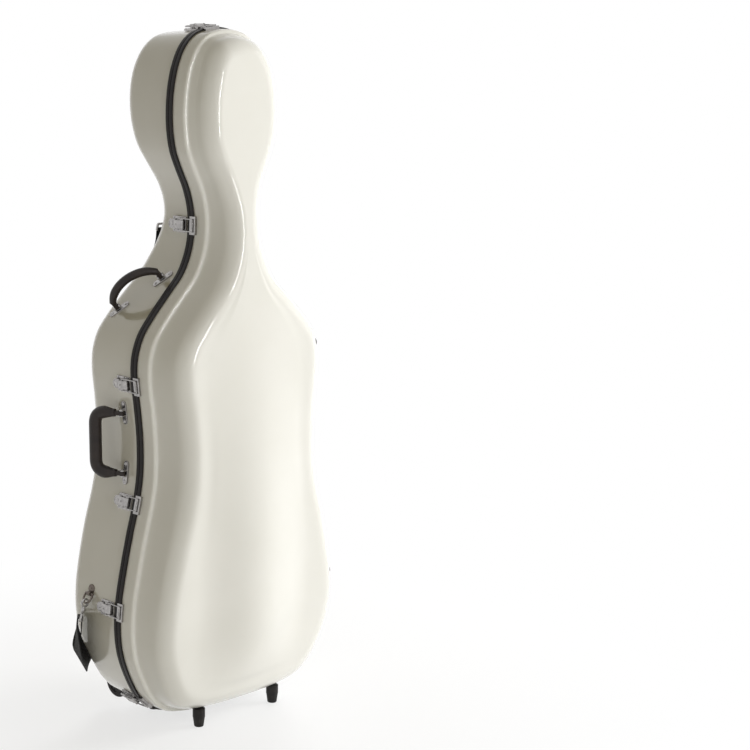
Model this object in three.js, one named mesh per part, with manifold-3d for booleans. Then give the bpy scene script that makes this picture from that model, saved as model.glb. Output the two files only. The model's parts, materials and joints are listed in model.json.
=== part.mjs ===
// Hard case for a cello: a deep base and a shallower lid that meet at a banded seam.
// Millimetres, +Z up, the lid's front faces -Y, and the hinges are on the +X side.
import * as THREE from "three";
import { mergeVertices } from "three/addons/utils/BufferGeometryUtils.js";
import Module from "manifold-3d";

const wasm = await Module();
wasm.setup();

// Driving sizes of the case
const CASE_HEIGHT = 1345;
const HALF_WIDTH = 250;
const BASE_DEPTH = 168;
const LID_DEPTH = 124;
const WALL = 4;
const LINING = 8;
const GAP = 0.3;
const OVERRUN = 20;
const FINEST_EDGE = 0.02;
const DEPTH_PROBE = 2;

// Shell form
const BASE_DRAFT = 6;
const BASE_CORNER = 36;
const BASE_CROWN = 2;
const LID_STRIP = 34;
const LID_STRIP_DRAFT = 1;
const LID_STEP_ROUND = 5;
const LID_STEP = 4;
const LID_STEP_FALL = 3;
const LID_WALL_DRAFT = 4;
const LID_CORNER = 34;
const LID_BULGE = 28;
const LID_BULGE_WIDTH = 150;
const RIB_OFFSET = 73;
const RIB_WIDTH = 42;
const RIB_RISE = 9;
const RIB_SINK = 3;
const RIB_WRAP = 16;

// Neck rest in the base: a padded block with a notch for the instrument's neck
const NECK_REST_START = 38;
const NECK_REST_LENGTH = 34;
const NECK_NOTCH_WIDTH = 58;
const NECK_NOTCH_DEPTH = 30;
const NECK_NOTCH_CORNER = 7;
const neckRestShares = { foot: 0.707 };

// Edge bands
const BAND_WIDTH = 9;
const BAND_PROUD = 2.8;
const BAND_CAP = 2;

// Outline, from the top of the head to the middle of the foot:
// shares of HALF_WIDTH and of CASE_HEIGHT
const outlineShares = [
  [0, 1], [0.112, 0.9978], [0.216, 0.9914], [0.308, 0.977], [0.38, 0.9539],
  [0.428, 0.9242], [0.45, 0.8907], [0.446, 0.8587], [0.416, 0.829], [0.356, 0.803],
  [0.286, 0.7762], [0.242, 0.748], [0.232, 0.7227], [0.258, 0.6914], [0.34, 0.6587],
  [0.484, 0.6305], [0.628, 0.603], [0.748, 0.5755], [0.808, 0.545], [0.814, 0.513],
  [0.786, 0.4736], [0.762, 0.4275], [0.764, 0.3792], [0.802, 0.3383], [0.87, 0.2937],
  [0.936, 0.2439], [0.986, 0.197], [1, 0.1561], [0.974, 0.119], [0.904, 0.0833],
  [0.8, 0.0491], [0.656, 0.026], [0.472, 0.0164], [0.24, 0.0126], [0, 0.0119],
];

// Depth of each half along the height: shares of CASE_HEIGHT and of the half's depth
const baseDepthShares = [
  [0.012, 0.774], [0.045, 0.798], [0.086, 0.845], [0.123, 0.899], [0.159, 0.94],
  [0.195, 0.97], [0.238, 0.988], [0.297, 0.994], [0.372, 0.976], [0.458, 0.952],
  [0.53, 0.935], [0.597, 0.923], [0.632, 0.893], [0.669, 0.821], [0.699, 0.726],
  [0.733, 0.643], [0.768, 0.643], [0.803, 0.708], [0.837, 0.792], [0.871, 0.845],
  [0.905, 0.875], [0.938, 0.881], [1, 0.833],
];
const lidDepthShares = [
  [0.012, 0.742], [0.058, 0.815], [0.093, 0.871], [0.129, 0.911], [0.168, 0.96],
  [0.223, 0.976], [0.335, 1], [0.446, 0.992], [0.52, 0.968], [0.596, 0.96],
  [0.633, 0.919], [0.671, 0.887], [0.706, 0.855], [0.74, 0.823], [0.772, 0.782],
  [0.805, 0.75], [0.872, 0.758], [0.94, 0.742], [1, 0.685],
];
const spineShares = { foot: 0.12, head: 0.915 };
const baseFaceShares = [0.4, 0.75, 1];
const lidFaceShares = [0.4, 0.65, 0.85, 1];
const lidInnerShares = [0.4, 0.75, 1];
const bulgeShares = { foot: 0.03, full: 0.16, fade: 0.16, head: 0.72, edge: 0.3 };
const ribShares = { top: 0.655, full: 0.625, spacing: 0.8, wrapped: 0.7, foot: 0.3 };
// Half section of a rib: shares of its half width and of its height
const ribSectionShares = [[1, 0], [0.8, 0.62], [0.52, 1]];

// Counts of facets
const AROUND = 54;
const FINE_AROUND = 4000;
const ARC_STEPS = 3;
const ROUND = 8;
const TURNS = 16;
const GRIP_STEPS = 12;
const PIN_ROUND = 6;
const RIB_STEPS = 7;

// Latches: t along the band, y across it towards the base, n out of the wall
const LATCH_WIDTH = 30;
const LATCH_PLATE_START = 13;
const LATCH_PLATE_END = 50;
const LATCH_PLATE_RISE = 1.2;
const LATCH_PLATE_SINK = 3.2;
const LATCH_PIN_PLACE = 19;
const LATCH_PIN_RISE = 5.4;
const LATCH_PIN_RADIUS = 1.6;
const LATCH_EAR_INSIDE = 8.6;
const LATCH_EAR_THICK = 2;
const LATCH_EAR_RADIUS = 4.2;
const LEVER_BARREL = 3.4;
const LEVER_THROW = 11;
const LEVER_TOP = 9.4;
const LEVER_BOX_END = 41;
const LEVER_TAB_END = 58;
const LEVER_TAB_WIDTH = 19;
const LEVER_TAB_THICK = 2.2;
const LEVER_TAB_RISE = 3.6;
const LEVER_SLOT_LENGTH = 7;
const LEVER_SLOT_WIDTH = 3;
const LEVER_SLOT_DEPTH = 1.2;
const BAIL_PIN_RADIUS = 1.5;
const BAIL_EYE = 3.2;
const BAIL_WIDTH = 26;
const BAIL_BAR = 1.9;
const BAIL_LOW = 5;
const BAIL_HIGH = 7.4;
const BAIL_REACH = 11.6;
const KEEPER_LENGTH = 15;
const KEEPER_WIDTH = 35;
const KEEPER_THICK = 1.2;
const KEEPER_EDGE = 1;
const KEEPER_LIP_WIDTH = 15;
const KEEPER_LIP_THICK = 1.9;
const KEEPER_LIP_RISE = 3.2;
// Places of the latches: side (-1 opening side, 1 hinge side), height as a share
const latchShares = [
  ["top", -1, 0.9994], ["neck_left", -1, 0.7234], ["neck_right", 1, 0.7234],
  ["shoulder_left", -1, 0.505], ["waist_left", -1, 0.335], ["hip_left", -1, 0.184],
  ["foot_left", -1, 0.04], ["foot_right", 1, 0.04],
];

// Hinges
const HINGE_RISE = 6.8;
const HINGE_LENGTH = 46;
const HINGE_KNUCKLE = 4;
const HINGE_PIN = 1.9;
const HINGE_PIN_HEAD = 2.9;
const HINGE_LEAF = 2.2;
const HINGE_LEAF_END = 31;
const hingeShares = { upper: 0.531, lower: 0.184 };

// Side handle and shoulder handles
const BRACKET_LENGTH = 46;
const BRACKET_WIDTH = 13;
const BRACKET_THICK = 2.4;
const BRACKET_PIVOT = 9;
const BRACKET_EAR = 2.6;
const BRACKET_EAR_RADIUS = 5.2;
const BRACKET_PIN = 2.2;
const TONGUE_THICK = 7.6;
const TONGUE_RADIUS = 5.4;
const TONGUE_LENGTH = 18;
const GRIP_START = 13;
const SIDE_GRIP_RADIUS = 11;
const SIDE_GRIP_REACH = 56;
const SIDE_GRIP_BEND = 24;
// How far the grips, rings and lower hook turn, as shares of a right angle
const leanShares = { side: 0.7333, shoulder: 0.02, ring: 0.2778, hook: 0.4556 };
const sideHandleShares = { low: 0.3747, high: 0.4617, depth: 0.244 };
const SHOULDER_GRIP_RADIUS = 8;
const SHOULDER_GRIP_REACH = 39;
const SHOULDER_GRIP_INWARD = 22;
const shoulderShares = { high: 0.6483, low: 0.6052 };
const shoulderDepthShares = { high: 0.226, low: 0.619 };

// Pull handle on the back of the head
const PULL_PIVOT_RISE = 2;
const PULL_POCKET_DEPTH = 15;
const PULL_POCKET_WALL = 4;
const PULL_CLEARANCE = 2.5;
const PULL_BLOCK_CENTRE = -13;
const PULL_BLOCK_WIDTH = 60;
const PULL_BLOCK_ABOVE = 15;
const PULL_BLOCK_THICK = 13;
const PULL_LOOP_WIDTH = 118;
const PULL_LOOP_DROP = 36;
const PULL_LOOP_HEIGHT = 77;
const PULL_LOOP_THICK = 11;
const PULL_OPENING_WIDTH = 93;
const PULL_OPENING_DROP = 52;
const PULL_OPENING_HEIGHT = 39;
const PULL_CORNER = 9;
const PULL_KNUCKLE = 5.5;
const PULL_PIN = 2;
const PULL_KNUCKLE_COUNT = 7;
const PULL_TONGUE_WIDTH = 54;
const pullShares = { pivot: 0.9413 };

// Wheels and their housings
const wheelShares = { place: 0.552, depth: 0.756 };
const WHEEL_HEIGHT = 50;
const WHEEL_RADIUS = 31;
const WHEEL_WIDTH = 19;
const WHEEL_BORE = 4.3;
const WHEEL_HUB = 12;
const WHEEL_HUB_PROUD = 0.8;
const WHEEL_TYRE_ROUND = 4;
const WHEEL_DISH = 3;
const WHEEL_RIM = 21;
const AXLE_RADIUS = 4;
const AXLE_HEAD = 6.5;
const AXLE_HEAD_PROUD = 5;
const HOUSING_WALL = 3;
const HOUSING_CLEARANCE = 2.2;
const HOUSING_TOP = 96;
const HOUSING_AHEAD = 37;
const HOUSING_BEHIND = 21;
const HOUSING_CORNER = 12;

// Rubber pegs, bumpers and feet
const PEG_BASE_RADIUS = 11.5;
const PEG_TIP_RADIUS = 9.5;
const PEG_ROUND = 2;
const PEG_SCREW_RADIUS = 3.6;
const PEG_SCREW_DEPTH = 4;
const PEG_RISE = 16;
const BUMPER_RISE = 15;
const FOOT_LENGTH = 20;
// Places: shares of the height, of the half width and of the half's depth
const pegShares = { upper: [0.564, 0.5346], lower: [0.74, 0.1874] };
const footShares = { place: 0.4, base: 0.393, lid: 0.548 };
const bumperShares = { upper: [0.524, 0.541], lower: [0.166, 0.186] };
const bumperDepthShares = { base: 0.357, lid: 0.597 };

// Rings, snap hooks and strap
const RING_WIRE = 2;
const RING_WIDTH = 26;
const RING_DROP = 22;
const RING_PLATE_RADIUS = 9;
const RING_PLATE_THICK = 2;
const RING_LUG = 4.4;
const RING_SEAT = 1.2;
const ringShares = { neck: 0.7428, side: 0.1963, sideDepth: 0.524 };

const STRAP_WIDTH = 50;
const STRAP_THICK = 2;
const HOOK_EYE_RADIUS = 7.4;
const HOOK_EYE_WIRE = 2;
const HOOK_STEM = 3;
const HOOK_COLLAR = 4.6;
const HOOK_COLLAR_START = 10.5;
const HOOK_COLLAR_END = 14;
const HOOK_FRAME_START = 17;
const HOOK_FRAME_END = 34;
const HOOK_FRAME_WIDTH = 60;
const HOOK_FRAME_BAR = 3.5;
const HOOK_FRAME_THICK = 4.4;
// The strap's places as shares of the half width, of the back's depth there and of the
// height, each followed by the direction across the webbing
const strapShares = {
  upperHook: [0, 1.106, 0.7026],
  lowerHook: [-1.072, 0.584, 0.1561],
  lowerAcross: [0.62, 0.75, -0.2],
  flatAcross: [1, 0, 0],
  sliderAcross: [0.75, 0.6, 0],
  padTop: [-0.124, 1.108, 0.513],
  padMiddle: [-0.152, 1.103, 0.4498],
  padFoot: [-0.176, 1.104, 0.3903],
  sliderTop: [-0.272, 1.217, 0.2647],
  sliderFoot: [-0.316, 1.204, 0.2394],
};
strapShares.upperTail = [[[0, 1.049, 0.6952], strapShares.flatAcross]];
strapShares.lowerTail = [[[-1.064, 0.569, 0.1413], [0.6, 0.7, 0.1]]];
strapShares.run = [
  [[0, 1.104, 0.6914], strapShares.flatAcross], [[-0.012, 1.069, 0.6654], strapShares.flatAcross],
  [[-0.032, 1.08, 0.6283], strapShares.flatAcross], [[-0.06, 1.083, 0.5799], strapShares.flatAcross],
  [strapShares.padTop, strapShares.flatAcross], [strapShares.padMiddle, strapShares.flatAcross],
  [strapShares.padFoot, strapShares.flatAcross], [[-0.216, 1.158, 0.3123], [0.9, 0.45, 0]],
  [[-0.248, 1.221, 0.2825], [0.6, 0.8, 0]], [strapShares.sliderTop, strapShares.sliderAcross],
  [strapShares.sliderFoot, strapShares.sliderAcross], [[-0.412, 1.187, 0.2097], [0.6, 0.6, 0.3]],
  [[-0.52, 1.2, 0.1725], [0.35, 0.7, 0.5]], [[-0.608, 1.206, 0.1383], [0, 0.8, 0.6]],
  [[-0.712, 1.197, 0.11], [-0.2, 0.7, 0.7]], [[-0.848, 1.098, 0.0862], [-0.3, 0.5, 0.8]],
  [[-0.96, 0.871, 0.0877], [-0.2, 0.5, 0.8]], [[-1.032, 0.722, 0.1115], [0.2, 0.6, 0.6]],
];
const PAD_WIDTH = 62;
const PAD_THICK = 11;
const PAD_SLOT_WIDTH = 54;
const PAD_SLOT_THICK = 5;
const PAD_EDGE_THICK = 8;
const PAD_CORNER = 2.5;
const padPlaceShares = [0.03, 0.12, 0.4, 0.6, 0.88, 0.97];
const padCrownShares = [0, 0.8, 1, 1, 0.8, 0];
const padWindowShares = [0.17, 0.49, 0.51, 0.83];
const SLIDER_WIDTH = 60;
const SLIDER_LENGTH = 24;
const SLIDER_BAR = 3;
const SLIDER_THICK = 3.4;

const materials = {
  shell: paint("#ebe9e0", 0.16, 0),
  band: paint("#211b1a", 0.45, 0),
  lining: paint("#2a2a2e", 0.95, 0),
  metal: paint("#b9b7b2", 0.24, 1),
  rubber: paint("#1c1b1b", 0.7, 0),
  grip: paint("#282321", 0.55, 0),
  plastic: paint("#1f1e1e", 0.42, 0),
  tyre: paint("#2c2a2a", 0.75, 0),
  webbing: paint("#141416", 0.9, 0),
};

function paint(color, roughness, metalness) {
  return new THREE.MeshStandardMaterial({ color, roughness, metalness });
}

function vec(x, y, z) {
  return new THREE.Vector3(x, y, z);
}

function smooth(value, start, end) {
  return THREE.MathUtils.smoothstep(value, start, end);
}

// A smooth curve through shares of two sizes
function shareCurve(shares, along, size) {
  const places = shares.map((share) => share[0] * along);
  const values = shares.map((share) => share[1] * size);
  const curve = new THREE.CubicInterpolant(places, values, 1);
  const first = places[0];
  const last = places[places.length - 1];
  return (place) => curve.evaluate(THREE.MathUtils.clamp(place, first, last))[0];
}

// Drops repeated vertices and empty triangles, and turns the faces outwards
function closed(geometry) {
  const bare = new THREE.BufferGeometry();
  bare.setAttribute("position", geometry.getAttribute("position").clone());
  if (geometry.index) {
    bare.setIndex(geometry.index.clone());
  }
  const merged = mergeVertices(bare, 1e-4);
  const points = merged.getAttribute("position");
  const kept = [];
  let volume = 0;
  for (let i = 0; i < merged.index.count; i += 3) {
    const [a, b, c] = [0, 1, 2].map((k) => merged.index.getX(i + k));
    if (a !== b && b !== c && c !== a) {
      kept.push([a, b, c]);
      const [p, q, r] = [a, b, c].map((k) => vec().fromBufferAttribute(points, k));
      volume += p.dot(q.cross(r));
    }
  }
  const turned = volume < 0 ? kept.map(([a, b, c]) => [a, c, b]) : kept;
  merged.setIndex(turned.flat());
  return merged;
}

function solid(geometry) {
  const clean = closed(geometry);
  const mesh = new wasm.Mesh({
    numProp: 3,
    vertProperties: Float32Array.from(clean.getAttribute("position").array),
    triVerts: Uint32Array.from(clean.index.array),
  });
  return new wasm.Manifold(mesh);
}

// The largest body of a solid as a geometry, without any slivers that a cut leaves
function toGeometry(manifold) {
  const bodies = manifold.simplify(FINEST_EDGE).decompose();
  const mesh = bodies.sort((a, b) => b.volume() - a.volume())[0].getMesh();
  const geometry = new THREE.BufferGeometry();
  geometry.setAttribute("position", new THREE.BufferAttribute(mesh.vertProperties, 3));
  geometry.setIndex(new THREE.BufferAttribute(mesh.triVerts, 1));
  return geometry;
}

function join(...pieces) {
  return pieces.reduce((sum, piece) => sum.add(piece));
}

function cut(piece, ...tools) {
  return tools.reduce((rest, tool) => rest.subtract(tool), piece);
}

// A skin over rings of points, one after another. The first strips, as many as turned says,
// are split along their other diagonal, so that skins built inwards and outwards match.
function skin(rings, loop = false, turned = 0) {
  const count = rings[0].length;
  const points = rings.flat().flatMap((p) => [p.x, p.y, p.z]);
  const index = [];
  const last = loop ? rings.length : rings.length - 1;
  for (let i = 0; i < last; i += 1) {
    const here = i * count;
    const next = ((i + 1) % rings.length) * count;
    for (let j = 0; j < count; j += 1) {
      const k = (j + 1) % count;
      if (i < turned) {
        index.push(here + j, next + j, here + k, here + k, next + j, next + k);
      } else {
        index.push(here + j, next + j, next + k, here + j, next + k, here + k);
      }
    }
  }
  const geometry = new THREE.BufferGeometry();
  geometry.setAttribute("position", new THREE.Float32BufferAttribute(points, 3));
  geometry.setIndex(index);
  return geometry;
}

// The same skin with its first and last rings closed to a point
function cappedSkin(rings) {
  const middle = (ring) => {
    const centre = ring.reduce((sum, p) => sum.add(p), vec(0, 0, 0)).divideScalar(ring.length);
    return ring.map(() => centre.clone());
  };
  return skin([middle(rings[0]), ...rings, middle(rings[rings.length - 1])]);
}

function box(x0, x1, y0, y1, z0, z1) {
  const geometry = new THREE.BoxGeometry(x1 - x0, y1 - y0, z1 - z0);
  return geometry.translate((x0 + x1) / 2, (y0 + y1) / 2, (z0 + z1) / 2);
}

// A cylinder along an axis ("x", "y" or "z"), centred on a point
function rod(axis, radius, length, x, y, z, facets = ROUND) {
  const geometry = new THREE.CylinderGeometry(radius, radius, length, facets);
  if (axis === "x") {
    geometry.rotateZ(Math.PI / 2);
  } else if (axis === "z") {
    geometry.rotateX(Math.PI / 2);
  }
  return geometry.translate(x, y, z);
}

// A profile in the y-z plane, extruded along x
function bar(points, x0, x1) {
  const shape = new THREE.Shape(points.map(([y, z]) => new THREE.Vector2(y, z)));
  const geometry = new THREE.ExtrudeGeometry(shape, { depth: x1 - x0, bevelEnabled: false });
  const turn = new THREE.Matrix4().makeBasis(vec(0, 1, 0), vec(0, 0, 1), vec(1, 0, 0));
  return geometry.applyMatrix4(turn).translate(x0, 0, 0);
}

// Points of an arc in a profile
function arc(y, z, radius, from, to, steps = 4) {
  return Array.from({ length: steps + 1 }, (_, i) => {
    const angle = THREE.MathUtils.degToRad(THREE.MathUtils.lerp(from, to, i / steps));
    return [y + radius * Math.cos(angle), z + radius * Math.sin(angle)];
  });
}

// A shape in the x-z plane, extruded along y
function plate(shape, y0, y1, curveSegments = 2) {
  const options = { depth: y1 - y0, bevelEnabled: false, curveSegments };
  const geometry = new THREE.ExtrudeGeometry(shape, options);
  return geometry.rotateX(Math.PI / 2).translate(0, y1, 0);
}

function roundedRectangle(x0, x1, z0, z1, radius) {
  const shape = new THREE.Shape();
  shape.moveTo(x0 + radius, z0);
  shape.lineTo(x1 - radius, z0);
  shape.absarc(x1 - radius, z0 + radius, radius, -Math.PI / 2, 0);
  shape.lineTo(x1, z1 - radius);
  shape.absarc(x1 - radius, z1 - radius, radius, 0, Math.PI / 2);
  shape.lineTo(x0 + radius, z1);
  shape.absarc(x0 + radius, z1 - radius, radius, Math.PI / 2, Math.PI);
  shape.lineTo(x0, z0 + radius);
  shape.absarc(x0 + radius, z0 + radius, radius, Math.PI, Math.PI * 1.5);
  return shape;
}

// A round bar along a curve
function tube(curve, radius, steps, facets = ROUND) {
  const circle = new THREE.Shape();
  circle.absarc(0, 0, radius, 0, Math.PI * 2);
  return new THREE.ExtrudeGeometry(circle, {
    steps,
    curveSegments: facets / 2,
    extrudePath: curve,
  });
}

const halfOutline = outlineShares.map(([x, z]) => vec(x * HALF_WIDTH, 0, z * CASE_HEIGHT));
const otherHalf = halfOutline.slice(1, -1).reverse().map((p) => vec(-p.x, 0, p.z));
const outline = new THREE.CatmullRomCurve3([...halfOutline, ...otherHalf], true);
const baseDepth = shareCurve(baseDepthShares, CASE_HEIGHT, BASE_DEPTH);
const lidDepth = shareCurve(lidDepthShares, CASE_HEIGHT, LID_DEPTH);
const SHELL_INSET = BAND_PROUD + GAP;
const RIM = GAP + BAND_CAP + GAP;

// Points down the outline's +X half, each with its outward normal
const finePoints = Array.from({ length: FINE_AROUND + 1 }, (_, j) => {
  const place = j / (2 * FINE_AROUND);
  const point = outline.getPoint(place);
  const tangent = outline.getTangent(place);
  const gain = baseDepth(point.z + DEPTH_PROBE) - baseDepth(point.z - DEPTH_PROBE);
  const slope = (gain / (2 * DEPTH_PROBE)) * Math.abs(tangent.z);
  return { x: point.x, z: point.z, nx: -tangent.z, nz: tangent.x, slope };
});

// Stations around the whole outline, closer together where it or the base's depth bends
function stationsOf(count) {
  const travel = [0];
  const bend = [0];
  for (let i = 1; i < finePoints.length; i += 1) {
    const [a, b] = [finePoints[i - 1], finePoints[i]];
    travel.push(travel[i - 1] + Math.hypot(b.x - a.x, b.z - a.z));
    bend.push(bend[i - 1] + Math.hypot(b.nx - a.nx, b.nz - a.nz, b.slope - a.slope));
  }
  const share = finePoints.map((_, i) => (travel[i] / travel.at(-1) + bend[i] / bend.at(-1)) / 2);
  const half = Array.from({ length: count / 2 + 1 }, (_, j) => {
    const target = j / (count / 2);
    const index = share.findIndex((value) => value >= target - 1e-9);
    return finePoints[index];
  });
  half[0] = { ...half[0], x: 0, nx: 0 };
  half[count / 2] = { ...half[count / 2], x: 0, nx: 0 };
  const mirrored = half.slice(1, -1).reverse().map((p) => ({ ...p, x: -p.x, nx: -p.nx }));
  return [...half, ...mirrored];
}

const stations = stationsOf(AROUND);

// One ring, inset from the outline; depth is a number or a function of height
function ringAt(around, inset, depth) {
  return around.map((s) => {
    const x = s.x - s.nx * inset;
    const z = s.z - s.nz * inset;
    return vec(x, typeof depth === "function" ? depth(z) : depth, z);
  });
}

// Rings from the last corner ring in to the middle line of the face, at shares of the way
function faceRings(edge, heightAt, shares) {
  const foot = spineShares.foot * CASE_HEIGHT;
  const head = spineShares.head * CASE_HEIGHT;
  return shares.map((share) => {
    return edge.map((p) => {
      const x = p.x * (1 - share);
      const z = THREE.MathUtils.lerp(p.z, THREE.MathUtils.clamp(p.z, foot, head), share);
      return vec(x, heightAt(x, z, share), z);
    });
  });
}

// Rounded corner from a side wall to the face
function cornerRings(around, inset, radius, depthAt, steps) {
  return Array.from({ length: steps + 1 }, (_, i) => {
    const angle = ((Math.PI / 2) * i) / steps;
    const inward = radius * (1 - Math.cos(angle));
    const short = radius * (1 - Math.sin(angle));
    return ringAt(around, inset + inward, (z) => depthAt(z) - short);
  });
}

function bulgeAt(x, z) {
  const across = Math.min(Math.abs(x) / LID_BULGE_WIDTH, 1);
  const lower = smooth(z, bulgeShares.foot * CASE_HEIGHT, bulgeShares.full * CASE_HEIGHT);
  const upper = 1 - smooth(z, bulgeShares.fade * CASE_HEIGHT, bulgeShares.head * CASE_HEIGHT);
  return LID_BULGE * Math.cos((across * Math.PI) / 2) ** 2 * lower * upper;
}

// Base surface at a depth below its outer skin, with coarser steps for a hidden skin
function baseRings(around, skinDepth, rim, steps = ARC_STEPS, faceShares = baseFaceShares) {
  const inset = SHELL_INSET + skinDepth;
  const radius = BASE_CORNER - skinDepth;
  const corner = cornerRings(around, inset + BASE_DRAFT, radius, (z) => baseDepth(z) - skinDepth, steps);
  const crown = (x, z, share) => baseDepth(z) - skinDepth + BASE_CROWN * smooth(share, 0, 1);
  const face = faceRings(corner.at(-1), crown, faceShares);
  return [ringAt(around, inset, rim), ...corner, ...face];
}

// Lid surface at a depth below its outer skin: strip, rounded step, wall, corner, face
function lidRings(around, skinDepth, rim, steps = ARC_STEPS, faceShares = lidFaceShares) {
  const inset = SHELL_INSET + skinDepth;
  const strip = LID_STRIP - skinDepth;
  const stepInset = inset + LID_STRIP_DRAFT + LID_STEP_ROUND + LID_STEP;
  const radius = LID_CORNER - skinDepth;
  const round = skinDepth > 0 ? [0] : [0, 0.5, 1];
  const step = round.map((share) => {
    const angle = (share * Math.PI) / 2;
    const inward = LID_STEP_ROUND * (1 - Math.cos(angle));
    const out = strip + LID_STEP_ROUND * Math.sin(angle);
    return ringAt(around, inset + LID_STRIP_DRAFT + inward, out);
  });
  const foot = strip + LID_STEP_ROUND + LID_STEP_FALL;
  const wall = ringAt(around, stepInset, foot);
  const flatDepth = (z) => lidDepth(z) - skinDepth;
  const corner = cornerRings(around, stepInset + LID_WALL_DRAFT, radius, flatDepth, steps);
  const bulged = (x, z, share) => flatDepth(z) + bulgeAt(x, z) * smooth(share, 0, bulgeShares.edge);
  const face = faceRings(corner.at(-1), bulged, faceShares);
  return [ringAt(around, inset, rim), ...step, wall, ...corner, ...face];
}

function shellBetween(outer, inner) {
  return solid(skin([...outer.slice().reverse(), ...inner], false, outer.length));
}

function mirrorToLid(manifold) {
  return manifold.mirror([0, 1, 0]);
}

// Everything inside a half's outer skin, for fitting parts against it
function core(rings) {
  const rim = rings[0];
  const flat = faceRings(rim, () => rim[0].y, [1]);
  return solid(skin([...rings.slice().reverse(), ...flat], false, rings.length));
}

const baseHollow = core(baseRings(stations, WALL - GAP, -GAP, 2, [1]));
const lidHollow = mirrorToLid(core(lidRings(stations, WALL - GAP, -GAP, 2, lidInnerShares)));
const baseCore = core(baseRings(stations, -GAP, -GAP));
const lidCore = mirrorToLid(core(lidRings(stations, -GAP, -GAP)));

// How far the faceted wall stands out of its smooth line within a reach of a place
function standOut(near, reach) {
  let most = 0;
  for (let i = 0; i < AROUND / 2; i += 1) {
    const ends = [stations[i], stations[i + 1]].map((s) => {
      const [dx, dz] = [s.x - near.x, s.z - near.z];
      return { along: dz * near.nx - dx * near.nz, out: dx * near.nx + dz * near.nz };
    });
    const [a, b] = ends[0].along < ends[1].along ? ends : [ends[1], ends[0]];
    if (a.along < reach && b.along > -reach) {
      for (const place of [Math.max(a.along, -reach), Math.min(b.along, reach)]) {
        const share = (place - a.along) / (b.along - a.along);
        most = Math.max(most, THREE.MathUtils.lerp(a.out, b.out, share));
      }
    }
  }
  return most;
}

// A place on the side wall: side -1 or 1, height, depth back from the seam,
// and how far along the wall a fitting reaches from there
function wallAt(side, height, depth = 0, reach = 0) {
  const near = finePoints.reduce((a, b) => (Math.abs(b.z - height) < Math.abs(a.z - height) ? b : a));
  const best = { ...near, x: side * near.x, nx: side * near.nx };
  const slope = BASE_DRAFT / (baseDepth(height) - BASE_CORNER);
  const inset = SHELL_INSET + slope * depth - standOut(near, reach);
  return {
    point: vec(best.x - best.nx * inset, depth, best.z - best.nz * inset),
    normal: vec(best.nx, 0, best.nz),
    tilted: vec(best.nx, slope, best.nz).normalize(),
  };
}

// Frame of a wall fitting: x along the wall, y to the back, z outwards
function wallFrame(place) {
  const along = vec(0, 1, 0).cross(place.normal).normalize();
  const frame = new THREE.Matrix4().makeBasis(along, vec(0, 1, 0), place.normal);
  return frame.setPosition(place.point);
}

// Frame on an axis through two wall places, lifted off the wall
function axisFrame(low, high, rise) {
  const along = high.point.clone().sub(low.point).normalize();
  const normal = low.normal.clone().add(high.normal);
  normal.addScaledVector(along, -normal.dot(along)).normalize();
  const across = normal.clone().cross(along);
  const centre = low.point.clone().add(high.point).multiplyScalar(0.5);
  const frame = new THREE.Matrix4().makeBasis(along, across, normal);
  return frame.setPosition(centre.addScaledVector(normal, rise));
}

const parts = [];

function add(name, geometry, material, frame = new THREE.Matrix4()) {
  const mesh = new THREE.Mesh(geometry, material);
  mesh.name = name;
  mesh.applyMatrix4(frame);
  parts.push(mesh);
  return mesh;
}

// Latch pieces in their wall frame, with n = 0 on the shell beside the band
function latchBase() {
  const half = LATCH_WIDTH / 2;
  const outer = LATCH_EAR_INSIDE + LATCH_EAR_THICK;
  const plate = box(-half, half, LATCH_PLATE_START, LATCH_PLATE_END, -LATCH_PLATE_SINK, LATCH_PLATE_RISE);
  const foot = solid(plate);
  const ear = [
    [LATCH_PIN_PLACE - LATCH_EAR_RADIUS, 0],
    ...arc(LATCH_PIN_PLACE, LATCH_PIN_RISE, LATCH_EAR_RADIUS, 180, 0),
    [LATCH_PIN_PLACE + LATCH_EAR_RADIUS, 0],
  ];
  const ears = [-outer, LATCH_EAR_INSIDE].map((start) => solid(bar(ear, start, start + LATCH_EAR_THICK)));
  const pinLength = LATCH_EAR_INSIDE + outer;
  const pin = solid(rod("x", LATCH_PIN_RADIUS, pinLength, 0, LATCH_PIN_PLACE, LATCH_PIN_RISE, PIN_ROUND));
  return join(foot, ...ears, pin);
}

function latchKeeper() {
  const half = KEEPER_WIDTH / 2;
  const low = BAND_PROUD + 2 * GAP;
  const high = low + KEEPER_THICK;
  const inner = -(BAND_WIDTH + 2 * GAP);
  const profile = [
    [-KEEPER_LENGTH, -LATCH_PLATE_SINK], [inner, -LATCH_PLATE_SINK], [inner, low],
    [-KEEPER_EDGE, low], [-KEEPER_EDGE, high], [-KEEPER_LENGTH, high],
  ];
  const lipFront = -(BAIL_REACH - BAIL_BAR - 2 * GAP);
  const lip = [
    [lipFront, low], [lipFront + KEEPER_LIP_THICK, low],
    [lipFront + KEEPER_LIP_THICK, high + KEEPER_LIP_RISE], [lipFront, high + KEEPER_LIP_RISE],
  ];
  const lipHalf = KEEPER_LIP_WIDTH / 2;
  return join(solid(bar(profile, -half, half)), solid(bar(lip, -lipHalf, lipHalf)));
}

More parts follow.
